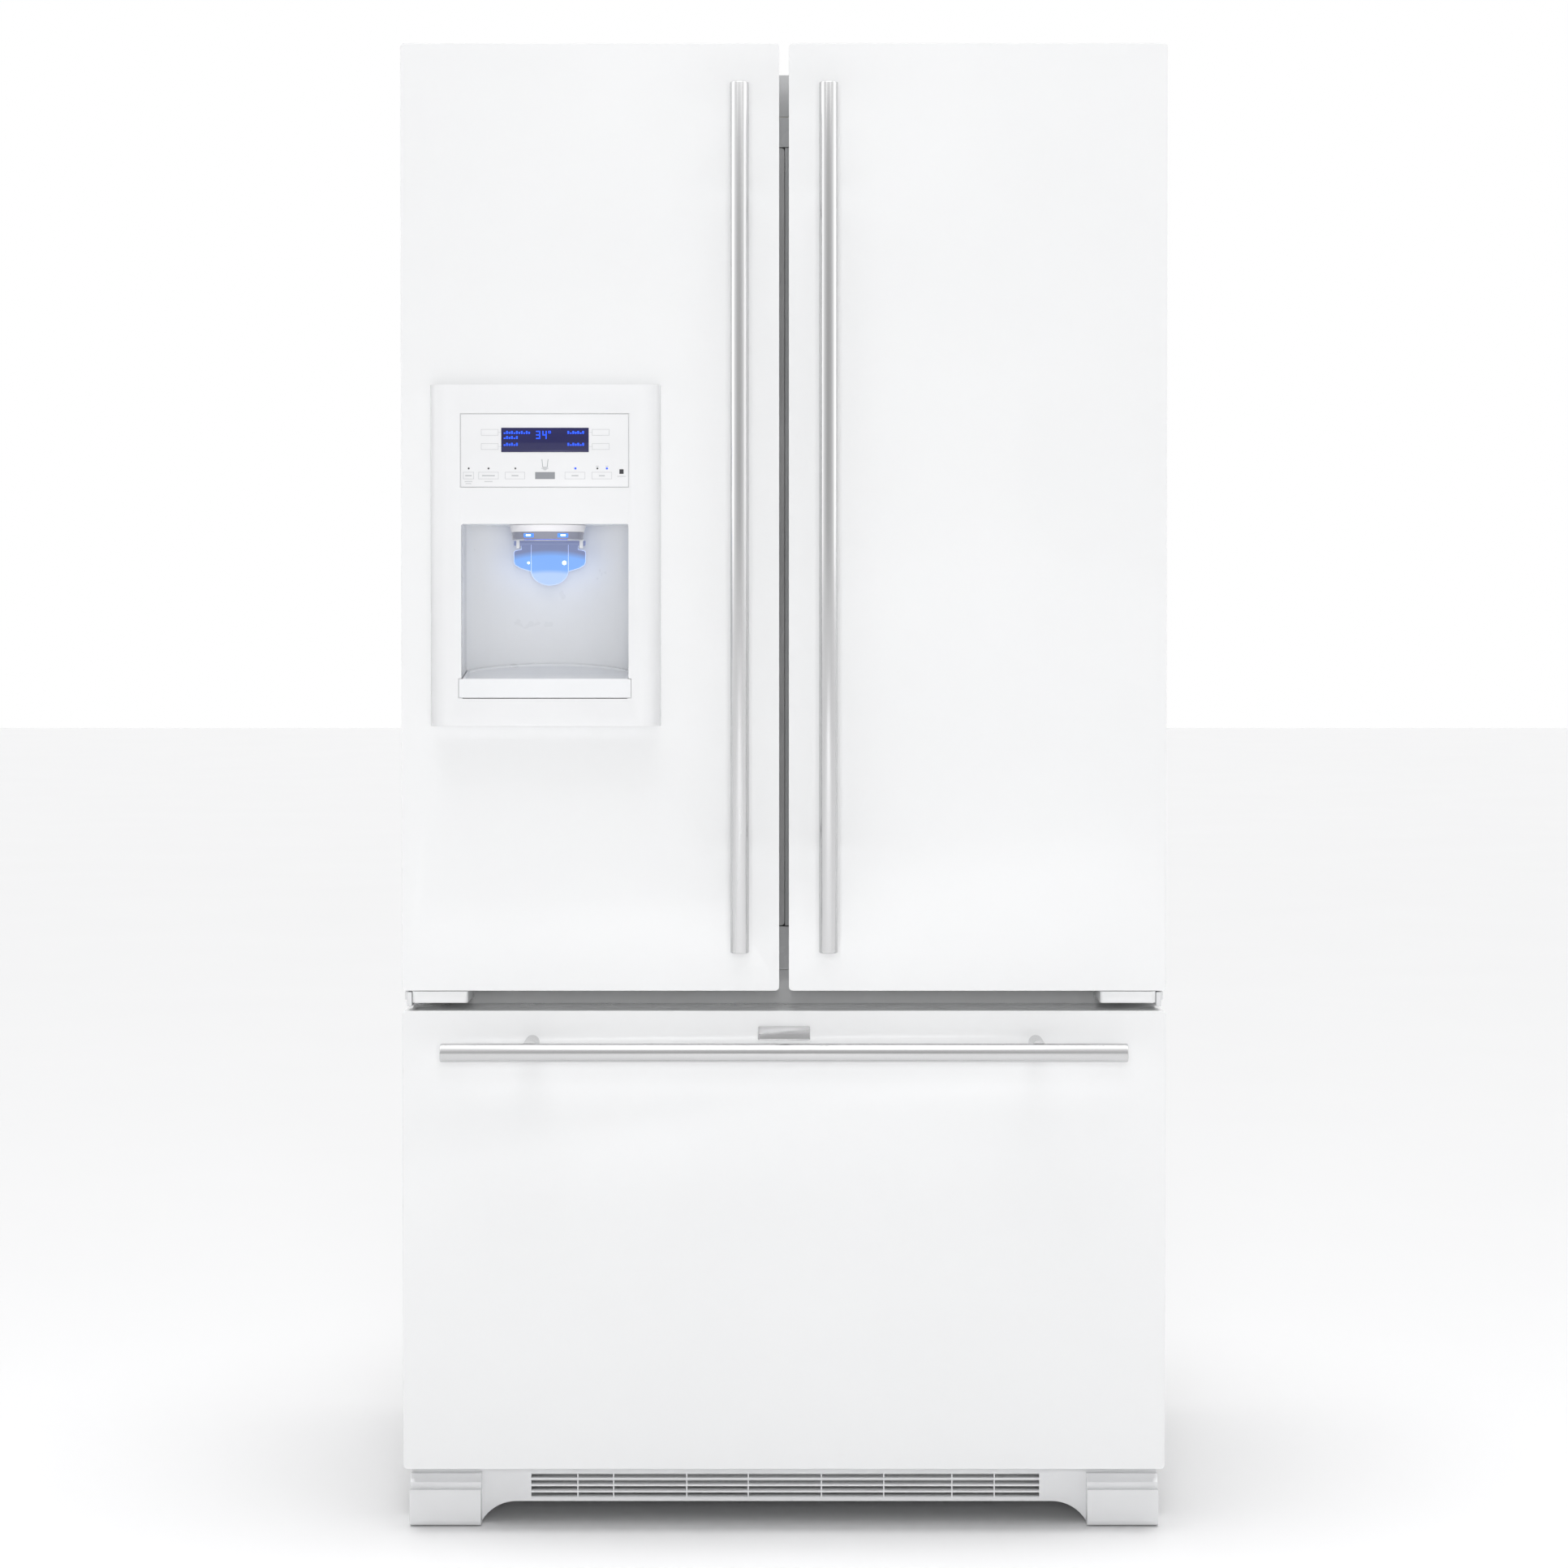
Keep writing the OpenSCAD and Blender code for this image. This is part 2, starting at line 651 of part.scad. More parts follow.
// A pressed steel pan: face and four turned edges, open at the back.
module door_pan(x0, z0, x1, z1) {
    difference() {
        front_plate(x0, z0, x1, z1, corner_r, y_face, y_inner);
        front_plate(x0 + skin_t, z0 + skin_t, x1 - skin_t, z1 - skin_t, corner_r - skin_t,
                    y_face + skin_t, y_inner + 1);
    }
}

// Foam-filled inner door with a raised rim that stands into the cabinet.
module door_filling(x0, z0, x1, z1) {
    rim_y = -190;
    g = 0.1;
    front_plate(x0 + skin_t + g, z0 + skin_t + g, x1 - skin_t - g, z1 - skin_t - g,
                corner_r - skin_t, y_face + skin_t + g, y_inner);
    difference() {
        span([x0 + 70, y_inner - 1, z0 + 45], [x1 - 45, rim_y, z1 - 105]);
        span([x0 + 84, y_inner, z0 + 59], [x1 - 59, rim_y + 1, z1 - 119]);
    }
}

// Sockets for the hinge pins, with play all round.
module pin_sockets() {
    rod_z([hinge_x, hinge_y, pin_top_z - 2], door_z1 - pin_top_z + 4, pin_hole_r);
    rod_z([hinge_x, hinge_y, door_z0 - 2], pin_bottom_z - door_z0 + 4, pin_hole_r);
}

module gasket_ring(x0, z0, x1, z1)
    front_frame([x0, y_inner, z0], [x1, y_flange - gasket_play, z1], gasket_w);

module right_door_skin() color([0.96, 0.96, 0.97]) difference() {
    door_pan(door_in, door_z0, half_w, door_z1);
    pin_sockets();
}

module right_door_liner() color([0.97, 0.97, 0.98]) difference() {
    mirror([1, 0, 0]) door_filling(-half_w, door_z0, -door_in, door_z1);
    pin_sockets();
}

module right_door_gasket() color([0.8, 0.81, 0.83])
    gasket_ring(gasket_in, door_z0 + 18, gasket_out, door_z1 - 42);

// Room for the dispenser behind the left door's face.
module dispenser_pocket() {
    span([disp_x - recess_w / 2 - 6, y_face - 1, tray_z0 - 9],
         [disp_x + recess_w / 2 + 6, y_inner + 36, cavity_z1 + 9]);
}

module left_door_skin() color([0.96, 0.96, 0.97]) difference() {
    door_pan(-half_w, door_z0, -door_in, door_z1);
    mirror([1, 0, 0]) pin_sockets();
    dispenser_pocket();
}

module left_door_liner() color([0.97, 0.97, 0.98]) difference() {
    union() {
        door_filling(-half_w, door_z0, -door_in, door_z1);
        // housing behind the dispenser
        span([disp_x - recess_w / 2 - 15, y_inner - 1, tray_z0 - 25],
             [disp_x + recess_w / 2 + 15, y_inner + 48, 1360]);
        flap_arms();
    }
    mirror([1, 0, 0]) pin_sockets();
    dispenser_pocket();
    // ice passage down to the chute
    rod_z([disp_x, chute_y, cavity_z1], 150, 34);
    span([disp_x - 34, chute_y, 1300], [disp_x + 34, y_inner + 60, 1361]);
}

module left_door_gasket() color([0.8, 0.81, 0.83])
    gasket_ring(-gasket_out, door_z0 + 18, -gasket_in, door_z1 - 42);

module door_bar() rod_z([bar_x, y_bar, bar_z0], bar_z1 - bar_z0, bar_d / 2);

module door_posts() difference() {
    for (z = [817, 1592]) rod_y([bar_x, y_bar, z], y_face - y_bar, post_d / 2);
    rod_z([bar_x, y_bar, bar_z0], bar_z1 - bar_z0, bar_d / 2 + run_gap);
}

module left_handle_bar() color([0.72, 0.72, 0.73]) mirror([1, 0, 0]) door_bar();
module left_handle_posts() color([0.6, 0.6, 0.62]) mirror([1, 0, 0]) door_posts();
module right_handle_bar() color([0.72, 0.72, 0.73]) door_bar();
module right_handle_posts() color([0.6, 0.6, 0.62]) door_posts();

// Deep door bins hung between the rims.
module right_door_bins() color([0.88, 0.93, 0.95, 0.7])
    for (z = [1000, 1195, 1395]) tub([66, y_inner + 0.3, z], [367, -112, z + 95], 12, 3);

module left_door_bins() color([0.88, 0.93, 0.95, 0.7])
    tub([-140, y_inner + 0.3, 1075], [-66, -112, 1175], 12, 3);

module ice_bin() color([0.86, 0.9, 0.93, 0.8]) difference() {
    tub([-367, y_inner + 0.3, 1366], [-66, -112, 1630], 16, 4);
    rod_z([disp_x, -205, 1360], 20, 28);
}

// Folding seal bar behind the gap between the doors, hollow for its heater.
module mullion_flap() color([0.42, 0.43, 0.45]) difference() {
    wall = 2;
    front_plate(flap_x0, flap_z0, flap_x1, flap_z1, 4, y_flange + 1, y_flange + 1 + flap_t);
    front_plate(flap_x0 + wall, flap_z0 + 12, flap_x1 - wall, flap_z1 - 12, 3,
                y_flange + 1 + wall, y_flange + 1 + flap_t - wall);
    rod_z([flap_axis_x, flap_axis_y, flap_z0 - 1], flap_z1 - flap_z0 + 2, flap_pin_r + run_gap);
}

// Arms on the left door that carry the flap's two pins.
module flap_arms() {
    for (z = [flap_z0 - 14, flap_z1 + 1])
        span([-51, flap_axis_y - 5, z], [flap_axis_x + 5, flap_axis_y + 5, z + 13]);
    rod_z([flap_axis_x, flap_axis_y, flap_z0 - 5], 14, flap_pin_r);
    rod_z([flap_axis_x, flap_axis_y, flap_z1 - 9], 14, flap_pin_r);
}

// ---- Dispenser ----

// Plan view of the recess: straight cheeks and a round back.
module recess_plan(grow) {
    half = recess_w / 2 + grow;
    front = y_bezel - 1;
    translate([disp_x, 0]) {
        translate([-half, front]) square([2 * half, -270 - front]);
        intersection() {
            translate([0, recess_cy]) circle(recess_r + grow, $fn = 96);
            translate([-half, -271]) square([2 * half, 90]);
        }
    }
}

module dispenser_recess() color([0.9, 0.92, 0.95]) {
    difference() {
        intersection() {
            translate([0, 0, tray_z0 - 5]) linear_extrude(cavity_z1 - tray_z0 + 11) recess_plan(3.5);
            span([-half_w, y_face, 0], [0, 0, overall_h]);
        }
        translate([0, 0, tray_z0 - 1]) linear_extrude(cavity_z1 - tray_z0 + 1) recess_plan(0);
        rod_z([disp_x, chute_y, cavity_z1 - 1], 40, 34.5);
    }
    // ears that carry the ends of the paddle's pivot
    for (side = [-1, 1]) difference() {
        translate([disp_x + side * 38, 0, 0])
            span([-2, paddle_y - 6, paddle_z - 6], [2, paddle_y + 6, cavity_z1 + 1]);
        rod_x([disp_x - 50, paddle_y, paddle_z], 100, paddle_pin_r + run_gap);
    }
}

module dispenser_bezel() color([0.97, 0.97, 0.98]) difference() {
    x0 = disp_x - bezel_w / 2;
    x1 = disp_x + bezel_w / 2;
    roll = 14;
    intersection() {
        translate([0, 0, bezel_z0]) linear_extrude(bezel_z1 - bezel_z0)
            round_rect(x0, y_bezel, x1, y_face + 2 * roll, roll);
        span([x0, y_bezel - 1, bezel_z0], [x1, y_face, bezel_z1]);
    }
    // opening of the recess, notch of the drip tray, and seat of the control panel
    span([disp_x - recess_w / 2, y_bezel - 1, tray_z0 - 1], [disp_x + recess_w / 2, y_face + 1, cavity_z1]);
    span([disp_x - 101.8, y_bezel - 1, tray_z0 - 0.5], [disp_x + 101.8, y_bezel + 6, tray_z1 + 0.5]);
    span([disp_x - panel_w / 2, y_bezel - 1, panel_z0], [disp_x + panel_w / 2, y_bezel + 2, panel_z1]);
}

module control_panel() color([0.96, 0.96, 0.97])
    span([disp_x - panel_w / 2, y_bezel, panel_z0], [disp_x + panel_w / 2, y_bezel + 2, panel_z1]);

module ice_chute() color([0.85, 0.86, 0.88]) difference() {
    union() {
        rod_z([disp_x, chute_y, 1192], 110, 33.9);
        translate([disp_x, chute_y, 1184]) cylinder(h = 14.5, r1 = 40, r2 = 43);
        rod_z([disp_x, chute_y, 1181], 3, 40);
    }
    rod_z([disp_x, chute_y, 1180], 130, 29);
}

module dispenser_paddle() color([0.45, 0.65, 1, 0.7]) {
    t = 3;
    // pivot rod with ends in the recess cheeks
    rod_x([disp_x - 39.5, paddle_y, paddle_z], 79, paddle_pin_r);
    translate([disp_x, paddle_y + t / 2, 0]) rotate([90, 0, 0]) linear_extrude(t) {
        polygon([[-34.5, paddle_z], [34.5, paddle_z], [34.5, 1170.5], [43, 1168], [43, 1155],
                 [36, 1148], [-36, 1148], [-43, 1155], [-43, 1168], [-34.5, 1170.5]]);
        translate([-22, 1145]) square([44, 30]);
        intersection() {
            translate([0, 1150]) circle(22.5);
            translate([-22, 1125]) square([44, 30]);
        }
    }
}

// Tray with a flat front lip and a shallow dish that rises to the back of the recess.
module drip_tray() color([0.93, 0.94, 0.96]) difference() {
    union() {
        span([disp_x - 101.3, y_bezel + 0.4, tray_z0], [disp_x + 101.3, y_bezel + 5.5, tray_z1]);
        tray_wedge(1, 5, tray_z0, tray_z0, tray_z1 - 0.5);
    }
    tray_wedge(4, 10, tray_z1 - 3, 2 * tray_z1, tray_z1 - 3);
}

// Part of the tray's plan between a level bottom and a top that rises to the back, or,
// for the dish, between a rising bottom and a level top.
module tray_wedge(margin, behind, bottom_z, top_z, slope_z) {
    rise = 17;
    y1 = recess_cy + recess_r;
    rising_top = top_z <= slope_z;
    intersection() {
        translate([0, 0, tray_z0]) linear_extrude(60) tray_plan(margin, behind);
        translate([disp_x - recess_w, 0, 0]) rotate([90, 0, 90]) linear_extrude(2 * recess_w)
            polygon(rising_top
                ? [[y_bezel, bottom_z], [y1, bottom_z], [y1, slope_z + rise], [y_bezel, slope_z]]
                : [[y_bezel, slope_z], [y1, slope_z + rise], [y1, top_z], [y_bezel, top_z]]);
    }
}

// Plan view of the tray: the recess less a margin, from a distance behind the bezel's face.
module tray_plan(margin, behind) intersection() {
    recess_plan(-margin);
    translate([disp_x - recess_w / 2, y_bezel + behind]) square([recess_w, 2 * recess_r]);
}

// ---- Freezer drawer ----

module drawer_skin() color([0.96, 0.96, 0.97])
    door_pan(-drawer_w / 2, drawer_z0, drawer_w / 2, drawer_z1);

module drawer_liner() color([0.97, 0.97, 0.98]) {
    g = skin_t + 0.1;
    front_plate(-drawer_w / 2 + g, drawer_z0 + g, drawer_w / 2 - g, drawer_z1 - g, corner_r - skin_t,
                y_face + g, y_inner);
    front_plate(-385, 125, 385, 565, 20, y_inner - 1, y_inner + 22);
}

module drawer_gasket() color([0.8, 0.81, 0.83])
    gasket_ring(-432, drawer_z0 + 8, 432, drawer_z1 - 8);

module drawer_handle_bar() color([0.72, 0.72, 0.73])
    rod_x([-drawer_bar_half, y_bar, drawer_bar_z], 2 * drawer_bar_half, bar_d / 2);

module drawer_handle_posts() color([0.6, 0.6, 0.62]) difference() {
    both_sides() rod_y([298, y_bar, drawer_bar_z + 6], y_face - y_bar, post_d / 2);
    rod_x([-500, y_bar, drawer_bar_z], 1000, bar_d / 2 + run_gap);
}

module badge() color([0.8, 0.8, 0.82])
    front_plate(-31, 588, 31, 605, 1.5, y_face - 3, y_face);

module drawer_slides() color([0.66, 0.67, 0.69]) both_sides() {
    x_in = 384;
    y1 = slide_y0 + slide_len;
    ledge_z = 461.7;
    // running member, mounting ear, and the ledge of the upper basket on two posts
    span([388, slide_y0, slide_z - 14], [inner_half - 4.2, y1, slide_z + 14]);
    span([x_in, slide_y0, slide_z - 24], [391, slide_y0 + 4, ledge_z]);
    for (y = [slide_y0, y1 - 26]) span([x_in, y, slide_z], [391, y + 26, ledge_z]);
    span([x_in, slide_y0, ledge_z - 8], [391, y1, ledge_z]);
}

module lower_basket() color([0.93, 0.94, 0.95]) {
    tub([-372, -204, 128], [372, 165, 330], 18, 4);
    both_sides() span([371, -189, 322], [387.8, 140, 326]);
}

module upper_basket() color([0.93, 0.94, 0.95]) {
    tub([-372, -206, 362], [372, 90, 470], 18, 4);
    both_sides() span([371, -188, 462], [391, 72, 466]);
}

cabinet_shell();
rear_panel();
cabinet_insulation();
fresh_food_liner();
freezer_liner();
divider_rail();
top_hinges();
top_hinge_covers();
center_hinges();
base_pan();
base_grille();
leveling_feet();
compressor();
condenser_coil();
fan_bracket();
machine_cover();
evaporator();
evaporator_cover();
air_tower();
shelf_standards();
shelf_frames();
shelf_glass();
ice_maker();
water_filter();
freezer_rails();
slide_middles();
condenser_fan();
rear_rollers();
left_crisper();
right_crisper();
pantry_drawer();
left_door_skin();
left_door_liner();
left_door_gasket();
left_handle_bar();
left_handle_posts();
dispenser_bezel();
dispenser_recess();
control_panel();
ice_chute();
left_door_bins();
ice_bin();
mullion_flap();
dispenser_paddle();
drip_tray();
right_door_skin();
right_door_liner();
right_door_gasket();
right_handle_bar();
right_handle_posts();
right_door_bins();
drawer_skin();
drawer_liner();
drawer_gasket();
drawer_handle_bar();
drawer_handle_posts();
badge();
drawer_slides();
lower_basket();
upper_basket();
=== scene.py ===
import json
import math

import bmesh
import bpy
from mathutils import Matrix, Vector


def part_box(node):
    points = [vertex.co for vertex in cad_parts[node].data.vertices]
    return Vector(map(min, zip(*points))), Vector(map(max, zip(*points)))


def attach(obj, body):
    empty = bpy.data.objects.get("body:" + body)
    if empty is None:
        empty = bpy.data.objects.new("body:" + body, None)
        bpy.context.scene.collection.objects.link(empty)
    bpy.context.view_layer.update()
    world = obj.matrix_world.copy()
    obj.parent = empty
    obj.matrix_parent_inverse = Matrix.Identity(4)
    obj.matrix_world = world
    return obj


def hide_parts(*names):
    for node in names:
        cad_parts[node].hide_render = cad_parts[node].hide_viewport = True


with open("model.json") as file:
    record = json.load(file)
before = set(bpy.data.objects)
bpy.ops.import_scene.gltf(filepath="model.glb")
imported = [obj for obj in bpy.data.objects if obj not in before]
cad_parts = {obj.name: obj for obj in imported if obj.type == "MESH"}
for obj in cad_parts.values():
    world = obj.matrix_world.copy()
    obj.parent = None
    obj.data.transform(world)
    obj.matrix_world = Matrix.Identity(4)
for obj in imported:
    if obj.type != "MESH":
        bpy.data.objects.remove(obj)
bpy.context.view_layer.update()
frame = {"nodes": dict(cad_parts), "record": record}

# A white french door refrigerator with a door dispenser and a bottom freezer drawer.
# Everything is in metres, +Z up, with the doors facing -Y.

MM = 0.001


# ---- Places taken from the frame ----

def low(node):
    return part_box(node)[0]


def high(node):
    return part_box(node)[1]


def middle(node):
    return (low(node) + high(node)) / 2


face_y = low("right_door_skin").y
disp_x = middle("dispenser_bezel").x


# ---- Node materials ----

class Paint:
    """One Principled material with helpers that add its procedural detail."""

    def __init__(self, name, color, roughness, metallic=0.0, coat=0.0, ior=1.5):
        self.material = bpy.data.materials.new(name)
        self.material.use_nodes = True
        self.tree = self.material.node_tree
        self.bsdf = self.tree.nodes["Principled BSDF"]
        self.color = color
        self.roughness = roughness
        self.bsdf.inputs["Base Color"].default_value = (*color, 1)
        self.bsdf.inputs["Roughness"].default_value = roughness
        self.bsdf.inputs["Metallic"].default_value = metallic
        self.bsdf.inputs["Coat Weight"].default_value = coat
        self.bsdf.inputs["IOR"].default_value = ior
        self.coords = self.tree.nodes.new("ShaderNodeTexCoord")

    def noise(self, scale, detail=3.0, stretch=(1, 1, 1), roughness=0.5):
        """A noise pattern over the object's own coordinates, stretched along its axes."""
        mapping = self.tree.nodes.new("ShaderNodeMapping")
        mapping.inputs["Scale"].default_value = stretch
        texture = self.tree.nodes.new("ShaderNodeTexNoise")
        texture.inputs["Scale"].default_value = scale
        texture.inputs["Detail"].default_value = detail
        texture.inputs["Roughness"].default_value = roughness
        self.tree.links.new(self.coords.outputs["Object"], mapping.inputs["Vector"])
        self.tree.links.new(mapping.outputs["Vector"], texture.inputs["Vector"])
        return texture.outputs["Fac"]

    def spread(self, fac, lowest, highest):
        """Maps a pattern to a range of numbers."""
        remap = self.tree.nodes.new("ShaderNodeMapRange")
        remap.inputs["From Min"].default_value = 0.3
        remap.inputs["From Max"].default_value = 0.7
        remap.inputs["To Min"].default_value = lowest
        remap.inputs["To Max"].default_value = highest
        self.tree.links.new(fac, remap.inputs["Value"])
        return remap.outputs["Result"]

    def vary_color(self, fac, other):
        """Colour runs between the base colour and another one."""
        ramp = self.tree.nodes.new("ShaderNodeValToRGB")
        ramp.color_ramp.elements[0].position = 0.3
        ramp.color_ramp.elements[1].position = 0.7
        ramp.color_ramp.elements[0].color = (*other, 1)
        ramp.color_ramp.elements[1].color = (*self.color, 1)
        self.tree.links.new(fac, ramp.inputs["Fac"])
        self.tree.links.new(ramp.outputs["Color"], self.bsdf.inputs["Base Color"])
        return self

    def vary_roughness(self, fac, amount):
        value = self.spread(fac, self.roughness - amount, self.roughness + amount)
        self.tree.links.new(value, self.bsdf.inputs["Roughness"])
        return self

    def bump(self, fac, strength, distance):
        node = self.tree.nodes.new("ShaderNodeBump")
        node.inputs["Strength"].default_value = strength
        node.inputs["Distance"].default_value = distance
        self.tree.links.new(fac, node.inputs["Height"])
        self.tree.links.new(node.outputs["Normal"], self.bsdf.inputs["Normal"])
        return self

    def glow(self, color, strength):
        self.bsdf.inputs["Emission Color"].default_value = (*color, 1)
        self.bsdf.inputs["Emission Strength"].default_value = strength
        return self

    def glow_by_height(self, first, last, centre, arch, stops):
        """Emission colour that follows height, in bands that arch across the piece."""
        parts = self.tree.nodes.new("ShaderNodeSeparateXYZ")
        self.tree.links.new(self.coords.outputs["Object"], parts.inputs["Vector"])

        def math_node(operation, *values):
            node = self.tree.nodes.new("ShaderNodeMath")
            node.operation = operation
            for socket, value in zip(node.inputs, values):
                if isinstance(value, float):
                    socket.default_value = value
                else:
                    self.tree.links.new(value, socket)
            return node.outputs["Value"]

        across = math_node("SUBTRACT", parts.outputs["X"], centre)
        height = math_node("ADD", parts.outputs["Z"],
                           math_node("MULTIPLY", math_node("MULTIPLY", across, across), arch))
        remap = self.tree.nodes.new("ShaderNodeMapRange")
        remap.inputs["From Min"].default_value = first
        remap.inputs["From Max"].default_value = last
        ramp = self.tree.nodes.new("ShaderNodeValToRGB")
        while len(ramp.color_ramp.elements) < len(stops):
            ramp.color_ramp.elements.new(0.5)
        for element, (place, color) in zip(ramp.color_ramp.elements, stops):
            element.position = place
            element.color = (*color, 1)
        self.tree.links.new(height, remap.inputs["Value"])
        self.tree.links.new(remap.outputs["Result"], ramp.inputs["Fac"])
        self.tree.links.new(ramp.outputs["Color"], self.bsdf.inputs["Emission Color"])
        self.bsdf.inputs["Emission Strength"].default_value = 0.9
        return self

    def clear(self, transmission, ior=1.45):
        self.bsdf.inputs["Transmission Weight"].default_value = transmission
        self.bsdf.inputs["IOR"].default_value = ior
        return self


def shade(value, dim):
    """A colour dimmed by a factor."""
    return tuple(channel * dim for channel in value)


def enamel():
    """Glossy baked enamel with a faint orange peel."""
    white = (0.86, 0.865, 0.87)
    paint = Paint("white_enamel", white, 0.14, coat=0.4)
    paint.vary_color(paint.noise(3.0), shade(white, 0.985))
    paint.vary_roughness(paint.noise(9.0), 0.025)
    return paint.bump(paint.noise(520.0, 2.0), 0.05, 0.0002).material


def satin_paint():
    """The cabinet's sprayed steel, duller than the doors and finely pebbled."""
    grey = (0.74, 0.745, 0.75)
    paint = Paint("cabinet_paint", grey, 0.42)
    paint.vary_color(paint.noise(5.0), shade(grey, 0.96))
    paint.vary_roughness(paint.noise(40.0), 0.05)
    return paint.bump(paint.noise(900.0, 3.0), 0.18, 0.0004).material


def zinc():
    """Galvanised steel with soft spangles."""
    grey = (0.5, 0.51, 0.525)
    paint = Paint("galvanised_steel", grey, 0.38, metallic=0.9)
    paint.vary_color(paint.noise(60.0, 4.0), shade(grey, 0.8))
    paint.vary_roughness(paint.noise(90.0), 0.1)
    return paint.bump(paint.noise(300.0), 0.06, 0.0003).material


def brushed(name, stretch):
    """Satin stainless steel, brushed along one axis."""
    steel = (0.66, 0.66, 0.665)
    paint = Paint(name, steel, 0.24, metallic=1.0)
    grain = paint.noise(60.0, 4.0, stretch)
    paint.vary_color(grain, shade(steel, 0.9))
    paint.vary_roughness(grain, 0.06)
    return paint.bump(grain, 0.1, 0.0001).material


def plastic(name, color, roughness, texture=260.0, dents=0.08, dim=0.97, coat=0.0):
    """Moulded plastic: slight shade changes and a fine texture."""
    paint = Paint(name, color, roughness, coat=coat)
    paint.vary_color(paint.noise(6.0), shade(color, dim))
    paint.vary_roughness(paint.noise(30.0), roughness * 0.15)
    return paint.bump(paint.noise(texture, 3.0), dents, 0.0003).material


def translucent(name, color, transmission, roughness, ior=1.45):
    """Clear or tinted plastic and glass."""
    paint = Paint(name, color, roughness)
    paint.clear(transmission, ior)
    paint.vary_color(paint.noise(4.0), shade(color, 0.97))
    return paint.vary_roughness(paint.noise(25.0), roughness * 0.4).material


def lamp(name, color, strength, dark):
    """A lit surface whose brightness is a little uneven."""
    paint = Paint(name, shade(color, 0.6), 0.3)
    paint.glow(color, strength)
    paint.vary_color(paint.noise(50.0), dark)
    return paint.material


def painted_glow_paddle():
    """Clear blue plastic lit from its edges, painted in as a glow that follows height: painted shade above,
    painted brightness below.
    """
    paint = Paint("painted_glow_paddle", (0.05, 0.08, 0.14), 0.12)
    paint.vary_color(paint.noise(30.0), (0.04, 0.07, 0.12))
    foot, head = low("dispenser_paddle").z, high("dispenser_paddle").z
    pale, blue, painted_shade = (0.5, 0.66, 1.0), (0.22, 0.44, 0.97), (0.2, 0.22, 0.38)
    stops = [(0.0, pale), (0.26, pale), (0.36, blue), (0.66, blue), (0.8, painted_shade), (1.0, painted_shade)]
    return paint.glow_by_height(foot, head, disp_x, 3.1, stops).material


MATERIALS = {
    "enamel": enamel(),
    "cabinet_paint": satin_paint(),
    "zinc": zinc(),
    "steel_upright": brushed("stainless_upright", (1.0, 1.0, 0.012)),
    "steel_across": brushed("stainless_across", (0.012, 1.0, 1.0)),
    "steel_badge": brushed("badge_plate", (0.05, 1.0, 1.0)),
    "foam": plastic("rigid_foam", (0.85, 0.76, 0.5), 0.8, 120.0, 0.5, 0.85),
    "liner": plastic("vacuum_formed_liner", (0.83, 0.84, 0.85), 0.28, 380.0, 0.05),
    "white_plastic": plastic("white_plastic", (0.84, 0.845, 0.855), 0.22, 420.0, 0.05, coat=0.2),
    "recess": plastic("dispenser_plastic", (0.85, 0.86, 0.875), 0.32, 420.0, 0.05, 0.99),
    "frosted": plastic("frosted_plastic", (0.86, 0.85, 0.87), 0.35, 420.0, 0.03, 0.99),
    "smoked_chrome": plastic("smoked_chrome", (0.3, 0.31, 0.38), 0.2, 300.0, 0.02, 0.9, coat=0.3),
    "gasket": plastic("gasket_rubber", (0.66, 0.67, 0.68), 0.6, 600.0, 0.25, 0.92),
    "flap": plastic("flap_texture", (0.8, 0.805, 0.81), 0.6, 900.0, 0.9, 0.7),
    "black_paint": plastic("black_paint", (0.02, 0.02, 0.022), 0.35, 240.0, 0.1, 0.8),
    "dark_plastic": plastic("dark_plastic", (0.045, 0.045, 0.05), 0.5, 300.0, 0.2, 0.85),
    "board": plastic("pressed_board", (0.1, 0.095, 0.09), 0.85, 160.0, 0.6, 0.7),
    "coating": plastic("wire_coating", (0.82, 0.83, 0.84), 0.25, 300.0, 0.05),
    "fins": plastic("fin_aluminium", (0.7, 0.71, 0.72), 0.35, 300.0, 0.1),
    "clear_plastic": translucent("clear_drawer_plastic", (0.86, 0.93, 0.95), 0.85, 0.08, 1.4),
    "glass": translucent("tempered_glass", (0.85, 0.95, 0.93), 0.95, 0.02, 1.3),
    "screen": plastic("display_glass", (0.008, 0.008, 0.09), 0.12, 300.0, 0.01, 0.7, coat=0.4),
    "ink": plastic("printed_grey", (0.3, 0.31, 0.33), 0.5, 500.0, 0.05, 0.9),
    "ink_pale": plastic("printed_pale_grey", (0.5, 0.51, 0.53), 0.5, 500.0, 0.05, 0.9),
    "ink_dark": plastic("printed_dark", (0.05, 0.05, 0.055), 0.4, 500.0, 0.05, 0.8),
    "digits": lamp("display_digits", (0.02, 0.1, 1.0), 1.1, (0.01, 0.04, 0.5)),
    "spot_glow": lamp("spot_glow", (0.06, 0.2, 1.0), 1.3, (0.05, 0.15, 0.8)),
    "spot_core": lamp("spot_core", (0.65, 0.85, 1.0), 3.0, (0.5, 0.7, 1.0)),
    "strip_glow": lamp("strip_glow", (0.08, 0.15, 0.8), 0.7, (0.05, 0.1, 0.6)),
    # painted glow along the paddle's edges, standing in for lamp light caught in the clear plastic
    "paddle_edge_painted_glow": lamp("paddle_edge_painted_glow", (0.55, 0.66, 0.95), 0.75, (0.4, 0.5, 0.9)),
    "led": lamp("blue_led", (0.02, 0.1, 1.0), 0.9, (0.01, 0.03, 0.5)),
    # painted light on the paddle: a glow that is brighter below, with painted shade above
    "paddle_painted_glow": painted_glow_paddle(),
}


# ---- Mesh helpers ----

